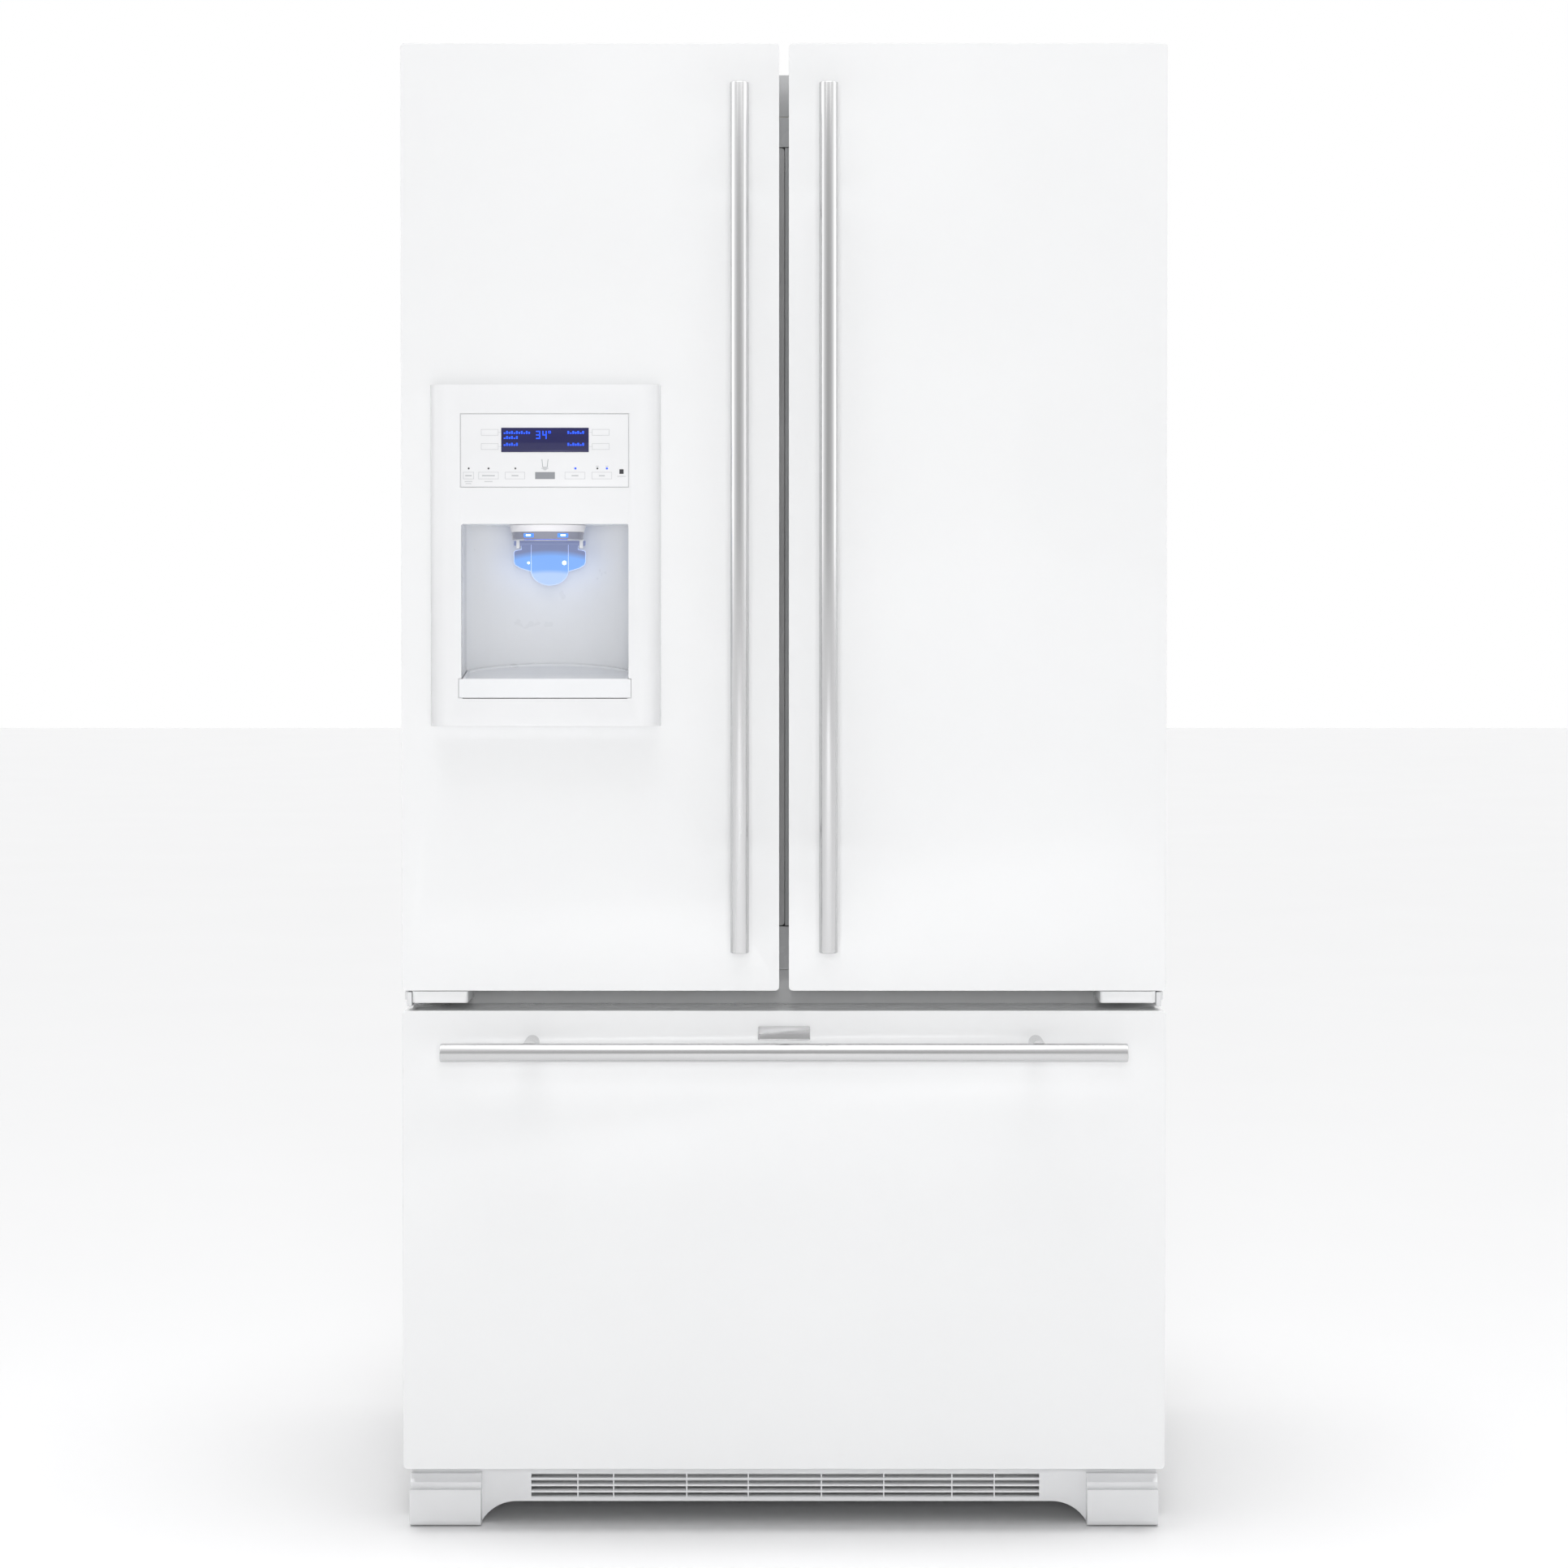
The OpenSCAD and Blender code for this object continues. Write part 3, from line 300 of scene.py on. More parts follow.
def finish_mesh(mesh_object, material, smooth_angle=32.0):
    mesh_object.data.materials.clear()
    mesh_object.data.materials.append(MATERIALS[material])
    for polygon in mesh_object.data.polygons:
        polygon.use_smooth = True
    bpy.context.view_layer.objects.active = mesh_object
    mesh_object.data.set_sharp_from_angle(angle=math.radians(smooth_angle))
    return mesh_object


def new_piece(name, bm, material, body, smooth_angle=32.0):
    """Turns a bmesh into a piece that rides a body."""
    mesh = bpy.data.meshes.new(name)
    bmesh.ops.recalc_face_normals(bm, faces=bm.faces)
    bm.to_mesh(mesh)
    bm.free()
    piece = bpy.data.objects.new(name, mesh)
    bpy.context.scene.collection.objects.link(piece)
    finish_mesh(piece, material, smooth_angle)
    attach(piece, body)
    return piece


def apply_modifier(piece, kind, **settings):
    modifier = piece.modifiers.new(kind.lower(), kind)
    for key, value in settings.items():
        setattr(modifier, key, value)
    bpy.context.view_layer.update()
    evaluated = piece.evaluated_get(bpy.context.evaluated_depsgraph_get())
    mesh = bpy.data.meshes.new_from_object(evaluated)
    piece.modifiers.clear()
    piece.data = mesh


def node_bmesh(node):
    """A CAD node's shape as a welded bmesh with its flat faces joined."""
    bm = bmesh.new()
    bm.from_mesh(frame["nodes"][node].data)
    bmesh.ops.remove_doubles(bm, verts=bm.verts, dist=0.01 * MM)
    bmesh.ops.dissolve_limit(bm, angle_limit=math.radians(0.6), verts=bm.verts, edges=bm.edges)
    return bm


BODY_OF = {n: b for b, ns in frame["record"]["behaviour"]["bodies"].items() for n in ns}
SLOT_OF = {s["node"]: s["material_slot"] for s in frame["record"]["subparts"]}


def soften(node, material, width, segments=3, smooth_angle=40.0):
    """Stands in for a node with the same shape and rounded edges."""
    piece = new_piece(node + "_finished", node_bmesh(node), material, BODY_OF[node],
                      smooth_angle)
    apply_modifier(piece, "BEVEL", width=width, segments=segments, limit_method="ANGLE",
                   angle_limit=math.radians(40), use_clamp_overlap=True, harden_normals=False)
    finish_mesh(piece, material, smooth_angle)
    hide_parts(node)
    return piece


def dress(node, material):
    """Keeps a CAD node and gives it a material."""
    node_object = frame["nodes"][node]
    node_object.data.materials.clear()
    node_object.data.materials.append(MATERIALS[material])


# ---- Shape builders ----

def slab(bm, low_corner, high_corner):
    """Adds a box between two corners and returns its vertices."""
    made = bmesh.ops.create_cube(bm, size=1.0)["verts"]
    size = Vector(high_corner) - Vector(low_corner)
    centre = (Vector(high_corner) + Vector(low_corner)) / 2
    bmesh.ops.scale(bm, vec=size, verts=made)
    bmesh.ops.translate(bm, vec=centre, verts=made)
    return made


def bevel_all(bm, width, segments=2, angle=30.0):
    """Rounds every edge of a bmesh that is sharper than an angle."""
    edges = [e for e in bm.edges if e.calc_face_angle(0) > math.radians(angle)]
    bmesh.ops.bevel(bm, geom=edges, offset=width, segments=segments, profile=0.5,
                    affect="EDGES", clamp_overlap=True)


def rounded_slab(bm, low_corner, high_corner, radius, segments=2):
    """Adds a box with rounded edges."""
    part = bmesh.new()
    slab(part, low_corner, high_corner)
    bevel_all(part, radius, segments)
    join(bm, part)


def join(bm, part):
    """Moves one bmesh's geometry into another."""
    mesh = bpy.data.meshes.new("part")
    part.to_mesh(mesh)
    part.free()
    bm.from_mesh(mesh)
    bpy.data.meshes.remove(mesh)


def prism(bm, outline, start, end, place):
    """Extrudes a 2D outline between two stations; place turns (u, v, station) into a point."""
    rings = [[bm.verts.new(place(u, v, s)) for u, v in outline] for s in (start, end)]
    count = len(outline)
    for i in range(count):
        k = (i + 1) % count
        bm.faces.new((rings[0][i], rings[0][k], rings[1][k], rings[1][i]))
    bm.faces.new(rings[0][::-1])
    bm.faces.new(rings[1])


def facing(u, v, s):
    """An outline drawn on the front, as (x, z), with its station along y."""
    return (u, s, v)


def lying(u, v, s):
    """An outline drawn in plan, as (x, y), with its station along z."""
    return (u, v, s)


def arc(cx, cy, radius, first, last, steps):
    """Points of an arc, in degrees."""
    angles = [math.radians(first + (last - first) * i / steps) for i in range(steps + 1)]
    return [(cx + radius * math.cos(a), cy + radius * math.sin(a)) for a in angles]


def round_rect(x0, y0, x1, y1, radius, steps=5):
    """Outline of a rectangle with round corners, anticlockwise."""
    corners = [(x1 - radius, y1 - radius, 0), (x0 + radius, y1 - radius, 90),
               (x0 + radius, y0 + radius, 180), (x1 - radius, y0 + radius, 270)]
    points = []
    for cx, cy, first in corners:
        points += arc(cx, cy, radius, first, first + 90, steps)
    return points


def lathe(bm, profile, place, sides=48):
    """Turns a (radius, station) profile round an axis; place maps (u, v, station) to a point."""
    rings = []
    for radius, station in profile:
        ring = [bm.verts.new(place(radius * math.cos(a), radius * math.sin(a), station))
                for a in (2 * math.pi * i / sides for i in range(sides))]
        rings.append(ring)
    for a, b in zip(rings, rings[1:]):
        for i in range(sides):
            k = (i + 1) % sides
            bm.faces.new((a[i], a[k], b[k], b[i]))
    return rings


def capped_lathe(bm, profile, place, sides=48):
    rings = lathe(bm, profile, place, sides)
    bm.faces.new(rings[0][::-1])
    bm.faces.new(rings[-1])


def tube(bm, points, radius, sides=8, closed=False):
    """Sweeps a round section along a polyline."""
    count = len(points)
    rings = []
    for i, point in enumerate(points):
        before = points[i - 1] if (i or closed) else point
        after = points[(i + 1) % count] if (i < count - 1 or closed) else point
        along = (Vector(after) - Vector(before)).normalized()
        side = along.orthogonal().normalized()
        if rings:
            side = (last_side - along * last_side.dot(along)).normalized()
        last_side = side
        up = along.cross(side)
        rings.append([bm.verts.new(Vector(point) + radius * (math.cos(a) * side + math.sin(a) * up))
                      for a in (2 * math.pi * k / sides for k in range(sides))])
    pairs = list(zip(rings, rings[1:]))
    for a, b in pairs:
        for k in range(sides):
            n = (k + 1) % sides
            bm.faces.new((a[k], a[n], b[n], b[k]))
    if closed:
        shift = min(range(sides), key=lambda s: (rings[-1][0].co - rings[0][s].co).length)
        for k in range(sides):
            n = (k + 1) % sides
            bm.faces.new((rings[-1][k], rings[-1][n], rings[0][(n + shift) % sides],
                          rings[0][(k + shift) % sides]))
    else:
        bm.faces.new(rings[0][::-1])
        bm.faces.new(rings[-1])


def cut(piece, builder):
    """Cuts the shape that builder adds to a bmesh out of a piece."""
    bm = bmesh.new()
    builder(bm)
    bmesh.ops.recalc_face_normals(bm, faces=bm.faces)
    mesh = bpy.data.meshes.new("cutter")
    bm.to_mesh(mesh)
    bm.free()
    cutter = bpy.data.objects.new("cutter", mesh)
    bpy.context.scene.collection.objects.link(cutter)
    apply_modifier(piece, "BOOLEAN", operation="DIFFERENCE", object=cutter, solver="EXACT")
    bpy.data.objects.remove(cutter)
    bpy.data.meshes.remove(mesh)


# ---- Stage: camera, lights and floor ----

def camera():
    """Level view of the front from a little above the middle."""
    data = bpy.data.cameras.new("camera")
    data.lens = 83.5
    data.sensor_width = 36
    data.shift_y = -0.066
    data.clip_end = 60
    view = bpy.data.objects.new("camera", data)
    view.location = (0, face_y - 4.3, 1.094)
    view.rotation_euler = (math.radians(90 - 1.06), 0, 0)
    bpy.context.scene.collection.objects.link(view)
    bpy.context.scene.camera = view


def softbox(name, place, target, width, height, power, glossy=True):
    data = bpy.data.lights.new(name, "AREA")
    data.shape = "RECTANGLE"
    data.size = width
    data.size_y = height
    data.energy = power
    light = bpy.data.objects.new(name, data)
    light.location = place
    light.rotation_euler = (Vector(target) - Vector(place)).to_track_quat("-Z", "Y").to_euler()
    light.visible_glossy = glossy
    light.visible_camera = False
    bpy.context.scene.collection.objects.link(light)


def surroundings():
    """A white studio: brightest at the sides, dimmer in front, and plain white to the eye."""
    world = bpy.data.worlds.new("studio")
    bpy.context.scene.world = world
    world.use_nodes = True
    tree = world.node_tree
    coords = tree.nodes.new("ShaderNodeTexCoord")
    frontness = tree.nodes.new("ShaderNodeVectorMath")
    frontness.operation = "DOT_PRODUCT"
    frontness.inputs[1].default_value = (0, -1, 0)
    place = tree.nodes.new("ShaderNodeMapRange")
    place.inputs["From Min"].default_value = -1.0
    levels = tree.nodes.new("ShaderNodeValToRGB")
    stops = [(0.0, 0.55), (0.4, 0.6), (0.48, 1.0), (0.58, 1.0), (0.68, 0.66), (0.86, 0.4), (1.0, 0.27)]
    ramp = levels.color_ramp
    while len(ramp.elements) < len(stops):
        ramp.elements.new(0.5)
    for element, (position, level) in zip(ramp.elements, stops):
        element.position = position
        element.color = (level, level, level, 1)
    path = tree.nodes.new("ShaderNodeLightPath")
    strength = tree.nodes.new("ShaderNodeMapRange")
    strength.inputs["To Min"].default_value = 0.36
    strength.inputs["To Max"].default_value = 2.0
    light = tree.nodes["Background"]
    seen = tree.nodes.new("ShaderNodeBackground")
    seen.inputs["Color"].default_value = (1, 1, 1, 1)
    mix = tree.nodes.new("ShaderNodeMixShader")
    for start, end in (
        (coords.outputs["Generated"], frontness.inputs[0]),
        (frontness.outputs["Value"], place.inputs["Value"]),
        (place.outputs["Result"], levels.inputs["Fac"]),
        (levels.outputs["Color"], light.inputs["Color"]),
        (path.outputs["Is Glossy Ray"], strength.inputs["Value"]),
        (strength.outputs["Result"], light.inputs["Strength"]),
        (path.outputs["Is Camera Ray"], mix.inputs["Fac"]),
        (light.outputs["Background"], mix.inputs[1]),
        (seen.outputs["Background"], mix.inputs[2]),
        (mix.outputs["Shader"], tree.nodes["World Output"].inputs["Surface"]),
    ):
        tree.links.new(start, end)


def studio():
    """Soft light from the front and above on a pale floor."""
    bpy.context.scene.view_settings.view_transform = "Standard"
    surroundings()
    softbox("front", (0, -4.9, 1.25), (0, 0, 0.95), 0.9, 0.9, 58, glossy=False)
    softbox("front_high", (0, -4.4, 2.6), (0, 0, 0.95), 0.9, 0.9, 14, glossy=False)
    softbox("overhead", (0, -2.2, 3.8), (0, -0.2, 0.9), 3.2, 1.6, 18)
    sun = bpy.data.lights.new("sky", "SUN")
    sun.energy = 2.2
    sun.angle = math.radians(40)
    bpy.context.scene.collection.objects.link(bpy.data.objects.new("sky", sun))
    floor = bmesh.new()
    span = 30.0
    slab(floor, (-span, -span, -0.02), (span, span, 0.0))
    mesh = bpy.data.meshes.new("floor")
    floor.to_mesh(mesh)
    floor.free()
    ground = bpy.data.objects.new("floor", mesh)
    bpy.context.scene.collection.objects.link(ground)
    pale = (0.9, 0.9, 0.905)
    surface = Paint("studio_floor", pale, 0.7)
    surface.vary_color(surface.noise(1.5), shade(pale, 0.99))
    mesh.materials.append(surface.material)


# ---- Doors, handles and badge ----

def skins():
    for node in ("left_door_skin", "right_door_skin", "drawer_skin"):
        soften(node, "enamel", 4 * MM, 5)


def handle_bar(node, material, upright):
    """A satin tube with shallow chamfered ends."""
    bottom, top = low(node), high(node)
    axis = 2 if upright else 0
    radius = (top.y - bottom.y) / 2
    centre = (bottom + top) / 2
    chamfer = 1.6 * MM
    lip = 0.5 * MM
    start, end = bottom[axis], top[axis]
    profile = [(radius - 6 * MM, start + 0.8 * MM), (radius - chamfer, start),
               (radius - lip, start + lip), (radius, start + chamfer), (radius, end - chamfer),
               (radius - lip, end - lip), (radius - chamfer, end), (radius - 6 * MM, end - 0.8 * MM)]

    def place(u, v, s):
        if upright:
            return (centre.x + u, centre.y + v, s)
        return (s, centre.y + u, centre.z + v)

    bm = bmesh.new()
    capped_lathe(bm, profile, place, 96)
    piece = new_piece(node + "_finished", bm, material, BODY_OF[node], 25)
    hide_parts(node)


def handles():
    handle_bar("left_handle_bar", "steel_upright", True)
    handle_bar("right_handle_bar", "steel_upright", True)
    handle_bar("drawer_handle_bar", "steel_across", False)
    dress("left_handle_posts", "steel_upright")
    dress("right_handle_posts", "steel_upright")
    dress("drawer_handle_posts", "steel_across")


def badge():
    """A blank plate in a raised bright frame."""
    bottom, top = low("badge"), high("badge")
    rim = 1.4 * MM
    frame_mesh = bmesh.new()
    prism(frame_mesh, round_rect(bottom.x, bottom.z, top.x, top.z, 2 * MM), bottom.y, top.y, facing)
    piece = new_piece("badge_finished", frame_mesh, "steel_badge", "freezer_drawer")
    plate = round_rect(bottom.x + rim, bottom.z + rim, top.x - rim, top.z - rim, 1 * MM)
    cut(piece, lambda bm: prism(bm, plate, bottom.y - 1 * MM, bottom.y + 0.7 * MM, facing))
    apply_modifier(piece, "BEVEL", width=0.3 * MM, segments=2, limit_method="ANGLE")
    finish_mesh(piece, "steel_badge")
    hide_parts("badge")


# ---- Dispenser ----

def bezel():
    """The dispenser's surround, with rolled cheeks on both sides."""
    bottom, top = low("dispenser_bezel"), high("dispenser_bezel")
    roll = 22 * MM
    proud = top.y - bottom.y
    steps = 12
    left = [(bottom.x + roll * (1 - math.cos(a)), top.y - proud * math.sin(a))
            for a in (math.pi / 2 * i / steps for i in range(steps + 1))]
    right = [(bottom.x + top.x - x, y) for x, y in reversed(left)]
    bm = bmesh.new()
    prism(bm, left + right, bottom.z, top.z, lying)
    piece = new_piece("dispenser_bezel_finished", bm, "white_plastic", "left_door")
    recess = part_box("drip_tray")
    opening = 98.5 * MM
    deep = top.y + 1 * MM
    proud_y = bottom.y - 1 * MM
    ceiling = high("dispenser_recess").z - 6 * MM
    cut(piece, lambda m: prism(m, round_rect(disp_x - opening, recess[0].z - 1 * MM, disp_x + opening,
                                             ceiling, 2.5 * MM), proud_y, deep, facing))
    cut(piece, lambda m: slab(m, (recess[0].x - 0.5 * MM, proud_y, recess[0].z - 0.5 * MM),
                              (recess[1].x + 0.5 * MM, bottom.y + 6 * MM, recess[0].z + 22.6 * MM)))
    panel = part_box("control_panel")
    cut(piece, lambda m: slab(m, (panel[0].x - 0.4 * MM, proud_y, panel[0].z - 0.4 * MM),
                              (panel[1].x + 0.4 * MM, panel[1].y, panel[1].z + 0.4 * MM)))
    apply_modifier(piece, "BEVEL", width=0.9 * MM, segments=3, limit_method="ANGLE",
                   angle_limit=math.radians(35))
    finish_mesh(piece, "white_plastic", 30)
    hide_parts("dispenser_bezel")


def outline_box(bm, x0, z0, x1, z1, y, line):
    """A thin printed rectangle on the front of the panel."""
    depth = 0.12 * MM
    slab(bm, (x0, y - depth, z0), (x1, y, z0 + line))
    slab(bm, (x0, y - depth, z1 - line), (x1, y, z1))
    slab(bm, (x0, y - depth, z0), (x0 + line, y, z1))
    slab(bm, (x1 - line, y - depth, z0), (x1, y, z1))


def dot(bm, x, z, y, radius):
    """A small round lamp, slightly domed."""
    capped_lathe(bm, [(radius, y), (radius * 0.9, y - 0.25 * MM), (radius * 0.4, y - 0.4 * MM)],
                 lambda u, v, s: (x + u, s, z + v), 20)


SEGMENTS = {"3": "abcdg", "4": "bcfg"}


def digit(bm, shape, x, z, width, height, y, stroke):
    """A seven-segment figure whose lower left corner is at (x, z)."""
    half = height / 2
    bars = {
        "a": (x, z + height - stroke, x + width, z + height),
        "b": (x + width - stroke, z + half, x + width, z + height),
        "c": (x + width - stroke, z, x + width, z + half),
        "d": (x, z, x + width, z + stroke),
        "e": (x, z, x + stroke, z + half),
        "f": (x, z + half, x + stroke, z + height),
        "g": (x, z + half - stroke / 2, x + width, z + half + stroke / 2),
    }
    for name in SEGMENTS[shape]:
        x0, z0, x1, z1 = bars[name]
        slab(bm, (x0, y - 0.15 * MM, z0), (x1, y, z1))


def control_panel():
    """Touch panel: a blue window, outlined touch fields, and small lamps."""
    soften("control_panel", "white_plastic", 0.3 * MM, 2)
    bottom, top = low("control_panel"), high("control_panel")
    left, ceiling, y = bottom.x, top.z, bottom.y
    body = "left_door"

    def spot(across, down):
        return left + across * MM, ceiling - down * MM

    def field(bm, across, down, width, height, line=0.35 * MM):
        x, z = spot(across, down)
        outline_box(bm, x, z - height * MM, x + width * MM, z, y, line)

    # display window
    wx0, wz1 = spot(48, 16.5)
    wx1, wz0 = spot(151, 45.2)
    window = bmesh.new()
    rounded_slab(window, (wx0, y - 0.5 * MM, wz0), (wx1, y + 0.2 * MM, wz1), 0.3 * MM)
    new_piece("display_window", window, "screen", body)
    glass_y = y - 0.5 * MM

    lit = bmesh.new()
    digit(lit, "3", wx0 + 41 * MM, wz0 + 15.5 * MM, 5 * MM, 9.5 * MM, glass_y, 1.3 * MM)
    digit(lit, "4", wx0 + 48.5 * MM, wz0 + 15.5 * MM, 5 * MM, 9.5 * MM, glass_y, 1.3 * MM)
    outline_box(lit, wx0 + 55.5 * MM, wz0 + 22 * MM, wx0 + 58.5 * MM, wz0 + 25 * MM, glass_y, 0.8 * MM)
    # short bars where a label would stand
    dash = 2.0
    for row, start, count in ((21.5, 3, 11), (15.5, 3, 6), (7.5, 3, 6), (21.5, 78, 7), (7.5, 78, 7)):
        for i in range(count):
            x = wx0 + (start + i * (dash + 0.9)) * MM
            tall = (3.4, 2.4, 3.4, 1.6)[(i + start) % 4] * MM
            slab(lit, (x, glass_y - 0.15 * MM, wz0 + row * MM), (x + dash * MM, glass_y,
                                                                wz0 + row * MM + tall))
    new_piece("display_figures", lit, "digits", body)

    print_lines = bmesh.new()
    outline_box(print_lines, left + 0.4 * MM, bottom.z + 0.4 * MM, top.x - 0.4 * MM, ceiling - 0.4 * MM,
                y, 0.35 * MM)
    for down in (18.3, 35.0):
        field(print_lines, 24.4, down, 20.3, 7.2)
        field(print_lines, 154.9, down, 20.3, 7.2)
        for across in (44.7, 151.5):
            x, z = spot(across, down + 3.6)
            slab(print_lines, (x, y - 0.12 * MM, z - 0.15 * MM), (x + 3.4 * MM, y, z + 0.15 * MM))
    touch_row = 68.6
    touch_h = 8.2
    for across, width in ((3.3, 12.5), (21.3, 23.5), (52.6, 23.3), (122.8, 23.8), (154.5, 23.6)):
        field(print_lines, across, touch_row, width, touch_h)
    new_piece("panel_outlines", print_lines, "ink_pale", body)

    solid = bmesh.new()
    x, z = spot(87.9, touch_row)
    rounded_slab(solid, (x, y - 0.15 * MM, z - touch_h * MM), (x + 23.2 * MM, y, z), 0.05 * MM, 1)
    # drinking glass mark above the filled field
    gx, gz = spot(99.5, 66.0)
    mark = [(-3.6, 12.5), (-2.6, 3.0), (2.6, 3.0), (3.6, 12.5)]
    mark = [(gx + across * MM, y - 0.1 * MM, gz + up * MM) for across, up in mark]
    for start, end in zip(mark, mark[1:]):
        tube(solid, [start, end], 0.3 * MM, 6)
    for i, half in enumerate((4.2, 2.8, 1.4)):
        slab(solid, (gx - half * MM, y - 0.12 * MM, gz + (1.6 - i * 0.9) * MM),
             (gx + half * MM, y, gz + (2.0 - i * 0.9) * MM))
    new_piece("panel_filled_field", solid, "ink", body)

    small_print = bmesh.new()
    for centre, row, half in ((9.5, 79.6, 4.5), (9.5, 82.0, 3.4), (33, 79.6, 4.8), (161, 61.4, 1.6),
                              (172.3, 61.4, 1.6), (189.5, 73.5, 5.0)):
        x, z = spot(centre, row)
        slab(small_print, (x - half * MM, y - 0.1 * MM, z - 0.45 * MM), (x + half * MM, y, z + 0.15 * MM))
    for across, width in ((9.5, 7.5), (33, 15), (64.2, 8), (134.7, 8), (166.3, 7)):
        x, z = spot(across, touch_row + touch_h / 2)
        slab(small_print, (x - width / 2 * MM, y - 0.1 * MM, z - 0.7 * MM),
             (x + width / 2 * MM, y, z + 0.5 * MM))
    new_piece("panel_label_bars", small_print, "ink_pale", body)

    dark = bmesh.new()
    for across in (9.8, 33.1, 64.6, 161.1):
        dot(dark, *spot(across, 64.3), y, 1.1 * MM)
    x, z = spot(187, 65.3)
    rounded_slab(dark, (x, y - 0.4 * MM, z - 5.4 * MM), (x + 4.9 * MM, y, z), 0.2 * MM)
    new_piece("panel_dark_lamps", dark, "ink_dark", body)
    blue = bmesh.new()
    for across in (135.3, 172.3):
        dot(blue, *spot(across, 64.3), y, 1.3 * MM)
    new_piece("panel_blue_lamps", blue, "led", body)


def hoop(bm, x, y, section, first=0.0, last=360.0, steps=64):
    """Sweeps a closed (radius, height) section round a vertical axis, in full or in part."""
    whole = last - first >= 360
    rings = []
    for i in range(steps if whole else steps + 1):
        a = math.radians(first + (last - first) * i / steps)
        rings.append([bm.verts.new((x + r * math.cos(a), y + r * math.sin(a), z)) for r, z in section])
    count = len(section)
    for a, b in zip(rings, rings[1:] + rings[:1] if whole else rings[1:]):
        for i in range(count):
            k = (i + 1) % count
            bm.faces.new((a[i], a[k], b[k], b[i]))
    if not whole:
        bm.faces.new(rings[0][::-1])
        bm.faces.new(rings[-1])


def chute():
    """Frosted funnel over a smoked ring with two lamps in its front."""
    dress("ice_chute", "recess")
    centre = middle("ice_chute")
    x, y, z = centre.x, centre.y, low("ice_chute").z
    bore = 33 * MM

    def ring(name, material, slot, section, first=0.0, last=360.0, steps=64):
        bm = bmesh.new()
        hoop(bm, x, y, section, first, last, steps)
        return new_piece(name, bm, material, "left_door")

    ring("chute_funnel", "frosted", "dispenser_plastic",
         [(bore, z + 9.4 * MM), (43 * MM, z + 9.4 * MM), (43.6 * MM, z + 10.2 * MM),
          (45.5 * MM, z + 17.6 * MM), (bore, z + 17.6 * MM)])
    ring("chute_ring", "smoked_chrome", "stainless_steel",
         [(bore, z + 0.4 * MM), (41.8 * MM, z + 0.4 * MM), (42.3 * MM, z + 0.9 * MM),
          (43.0 * MM, z + 9 * MM), (42.5 * MM, z + 9.4 * MM), (bore, z + 9.4 * MM)])
    ring("chute_lit_strip", "strip_glow", "dispenser_plastic",
         [(40.5 * MM, z - 0.3 * MM), (41.6 * MM, z - 0.3 * MM), (41.6 * MM, z + 0.4 * MM),
          (40.5 * MM, z + 0.4 * MM)], -128, -52, 24)
    for side, turn in (("left", -118.5), ("right", -61.5)):
        for part, material, reach, half, proud in (("halo", "spot_glow", 9.0, 3.0, 0.15),
                                                   ("lamp", "spot_core", 4.2, 1.3, 0.35)):
            top_r = 43.0 * MM + proud * MM
            mid = z + 5.2 * MM
            ring(f"chute_{side}_{part}", material, "dispenser_plastic",
                 [(42 * MM, mid - half * MM), (top_r, mid - half * 0.6 * MM),
                  (top_r, mid + half * 0.6 * MM), (42 * MM, mid + half * MM)],
                 turn - reach, turn + reach, 10)


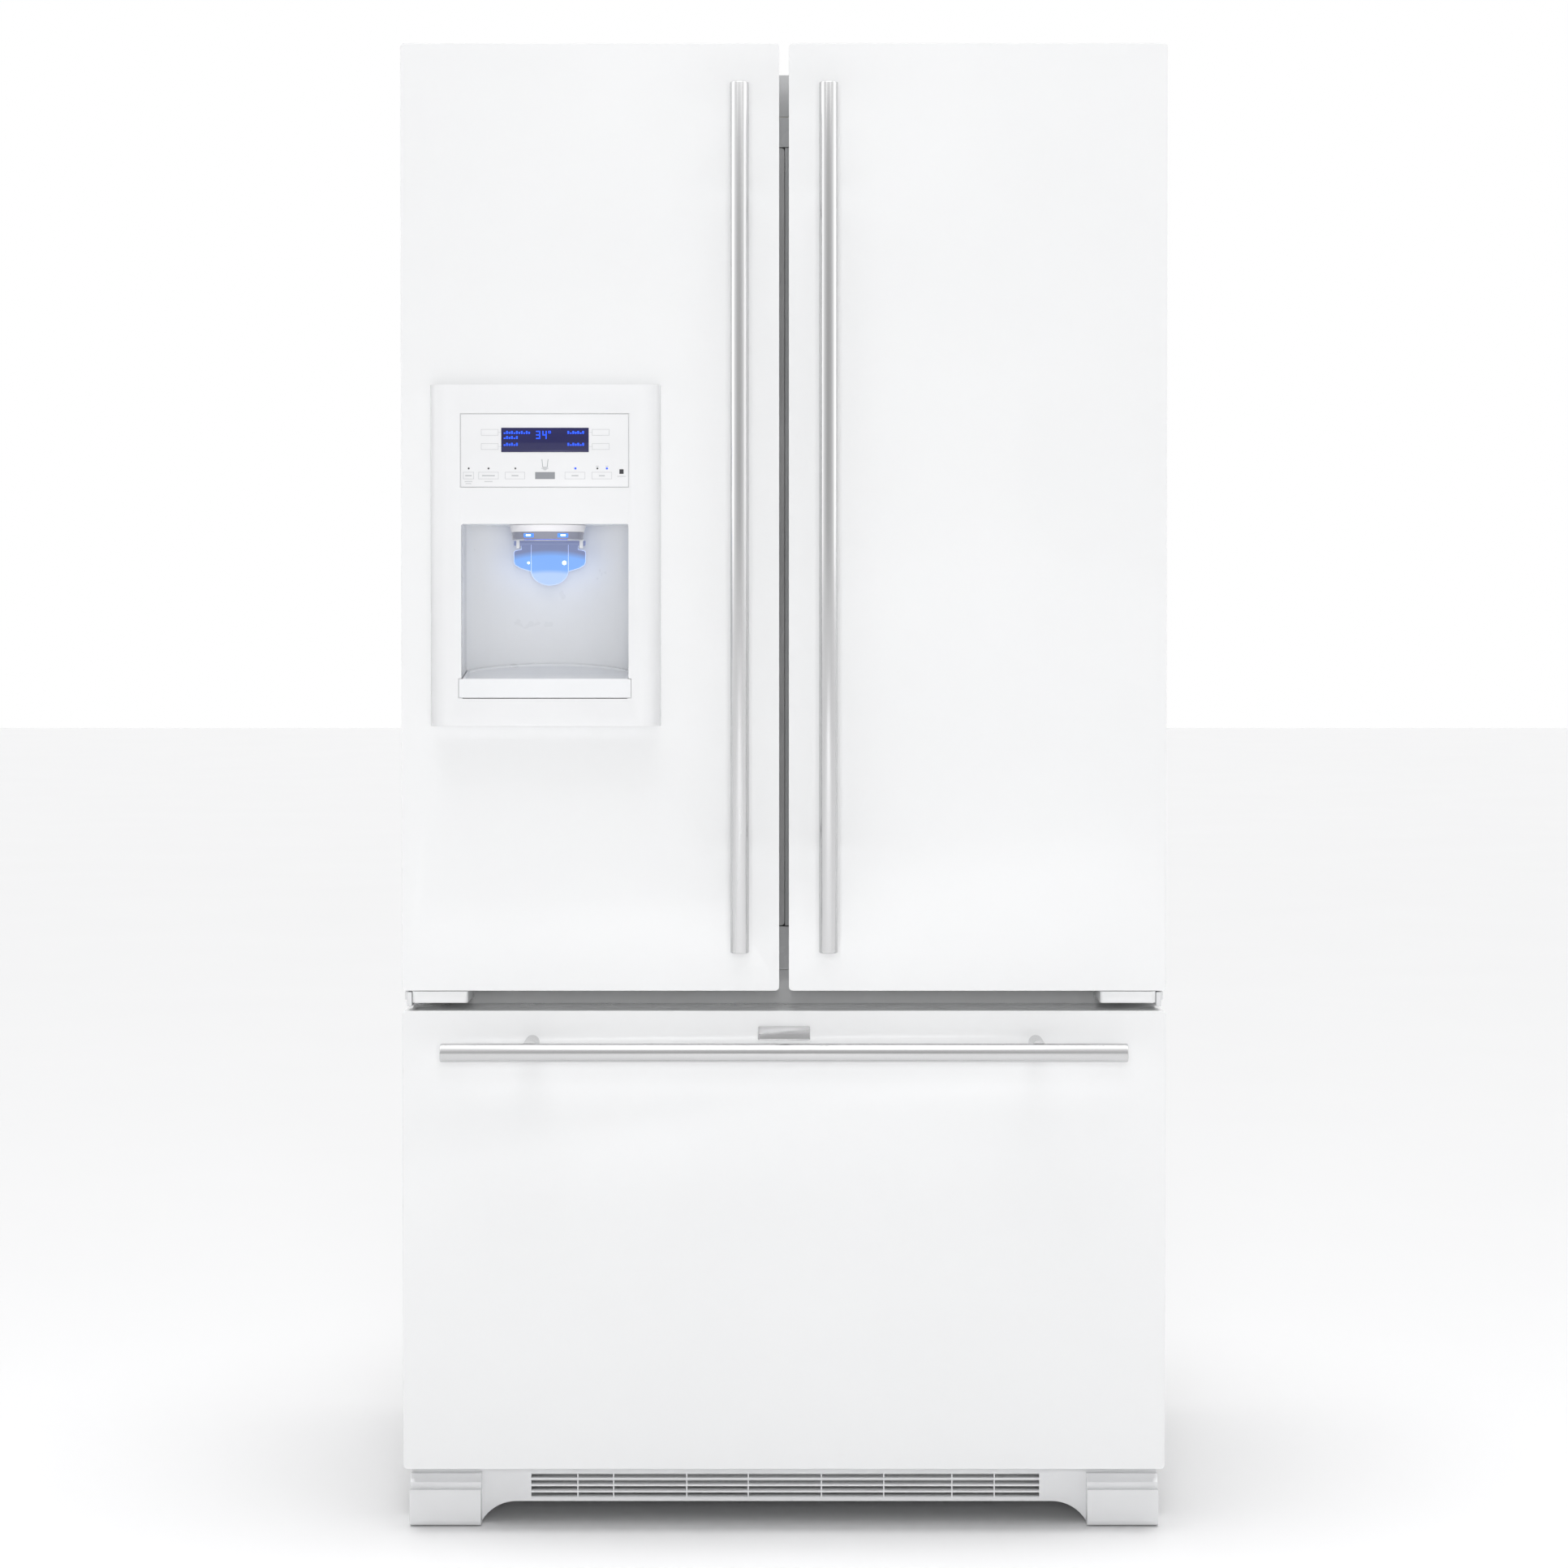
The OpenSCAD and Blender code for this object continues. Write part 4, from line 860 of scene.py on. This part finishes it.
def paddle():
    """Clear paddle: two wings, a rounded tongue in front of them, and the pivot rod."""
    bottom, top = low("dispenser_paddle"), high("dispenser_paddle")
    pivot_y = (bottom.y + top.y) / 2
    pivot_r = (top.y - bottom.y) / 2
    pivot_z = top.z - pivot_r
    body, slot = BODY_OF["dispenser_paddle"], SLOT_OF["dispenser_paddle"]

    def outline(points):
        right = [(disp_x + u * MM, pivot_z - down * MM) for u, down in points]
        return right + [(2 * disp_x - u, v) for u, v in reversed(right)]

    wings = outline([(34, 1.5), (34, 7.5), (41.5, 9), (43, 11), (43, 22), (41.5, 26), (36, 29.5),
                     (22, 34)])
    tongue_r = 22.3 * MM
    tongue_z = bottom.z + tongue_r + 0.2 * MM
    flatten = 0.8
    tongue = [(u, tongue_z + (v - tongue_z) * flatten - tongue_r * (1 - flatten))
              for u, v in arc(disp_x, tongue_z, tongue_r, -180, 0, 28)]
    tongue = [(disp_x - tongue_r, pivot_z - 1 * MM)] + tongue + [(disp_x + tongue_r, pivot_z - 1 * MM)]
    bm = bmesh.new()
    prism(bm, wings, pivot_y - 1.2 * MM, pivot_y + 1.5 * MM, facing)
    prism(bm, tongue, pivot_y - 2.2 * MM, pivot_y - 1.3 * MM, facing)
    capped_lathe(bm, [(pivot_r * 0.8, bottom.x), (pivot_r, bottom.x + 0.6 * MM),
                      (pivot_r, top.x - 0.6 * MM), (pivot_r * 0.8, top.x)],
                 lambda u, v, s: (s, pivot_y + u, pivot_z + v), 24)
    # the paddle's whole glow is painted light: emission stands in for the chute lamps' light, with painted
    # shade towards the pivot
    piece = new_piece("dispenser_paddle_finished", bm, "paddle_painted_glow", body)
    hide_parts("dispenser_paddle")
    # painted glow: thin emissive tubes along the wing and tongue edges stand in for light caught in the
    # clear edges
    edge = bmesh.new()
    for line, y in ((wings, pivot_y - 1.2 * MM), (tongue, pivot_y - 2.2 * MM)):
        tube(edge, [(u, y, v) for u, v in line], 0.35 * MM, 6, closed=True)
    new_piece("dispenser_paddle_painted_edge_glow", edge, "paddle_edge_painted_glow", body)
    # painted highlights: two small glowing domes on the tongue stand in for the chute lamps' reflections
    painted_glints = bmesh.new()
    for across, radius in ((-25.5, 1.5), (17.5, 2.6)):
        dot(painted_glints, disp_x + across * MM, pivot_z - 23.5 * MM, pivot_y - 2.1 * MM, radius * MM)
    new_piece("dispenser_paddle_painted_glints", painted_glints, "spot_core", body)


def dispenser():
    bezel()
    control_panel()
    dress("dispenser_recess", "recess")
    chute()
    paddle()
    soften("drip_tray", "recess", 0.5 * MM, 2)


# ---- Between the doors ----

def door_gap():
    """The fin of the right door's gasket that meets the mullion flap, and the hinge ends."""
    seal_y = high("right_door_gasket").y
    fin = bmesh.new()
    rounded_slab(fin, (high("mullion_flap").x + 0.6 * MM, seal_y - 2.2 * MM, low("mullion_flap").z),
                 (low("right_door_gasket").x + 1 * MM, seal_y - 0.6 * MM, high("mullion_flap").z), 0.5 * MM)
    new_piece("right_gasket_fin", fin, "gasket", "right_door")
    # a full-height step beside each hinge, and a shallower one outside it
    ends = bmesh.new()
    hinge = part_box("center_hinges")
    inner = hinge[1].x + 1 * MM
    back_y = hinge[1].y - 2 * MM
    gap_z = (high("drawer_skin").z + low("left_door_skin").z) / 2
    ceiling = gap_z + 9 * MM
    for side in (-1, 1):
        for reach, drop, setback in ((6, 8.0, 12), (9, 0.8, 20)):
            a, b = sorted((side * inner, side * (inner + reach * MM)))
            rounded_slab(ends, (a, face_y + setback * MM, gap_z - drop * MM), (b, back_y, ceiling), 1 * MM)
    new_piece("center_hinge_ends", ends, "white_plastic", "cabinet")


# ---- Everything else that carries over ----

def carried_over():
    soft_edges = {
        "cabinet_shell": ("cabinet_paint", 1.2), "rear_panel": ("zinc", 0.4),
        "divider_rail": ("cabinet_paint", 1.0), "top_hinge_covers": ("white_plastic", 2.0),
        "center_hinges": ("enamel", 1.5), "base_grille": ("white_plastic", 0.5),
        "machine_cover": ("board", 0.4), "fresh_food_liner": ("liner", 1.5),
        "freezer_liner": ("liner", 1.5), "right_door_liner": ("liner", 4.0),
        "mullion_flap": ("flap", 2.0), "left_crisper": ("clear_plastic", 1.0),
        "right_crisper": ("clear_plastic", 1.0), "pantry_drawer": ("clear_plastic", 1.0),
        "right_door_bins": ("clear_plastic", 1.0), "left_door_bins": ("clear_plastic", 1.0),
        "ice_bin": ("clear_plastic", 1.0), "shelf_frames": ("white_plastic", 0.8),
        "shelf_glass": ("glass", 0.5), "air_tower": ("liner", 1.5), "ice_maker": ("white_plastic", 2.0),
        "evaporator_cover": ("liner", 0.5), "drawer_slides": ("zinc", 0.5),
        "drawer_liner": ("liner", 5.0), "left_door_liner": ("liner", 2.0),
    }
    for node, (material, width) in soft_edges.items():
        soften(node, material, width * MM)
    kept = {
        "cabinet_insulation": "foam", "top_hinges": "zinc", "base_pan": "zinc",
        "leveling_feet": "dark_plastic", "compressor": "black_paint", "condenser_coil": "black_paint",
        "fan_bracket": "dark_plastic", "evaporator": "fins", "shelf_standards": "zinc",
        "water_filter": "white_plastic", "freezer_rails": "zinc", "slide_middles": "zinc",
        "condenser_fan": "dark_plastic", "rear_rollers": "dark_plastic",
        "left_door_gasket": "gasket", "right_door_gasket": "gasket", "drawer_gasket": "gasket",
        "lower_basket": "coating", "upper_basket": "coating",
    }
    for node, material in kept.items():
        dress(node, material)


camera()
studio()
skins()
handles()
badge()
dispenser()
door_gap()
carried_over()
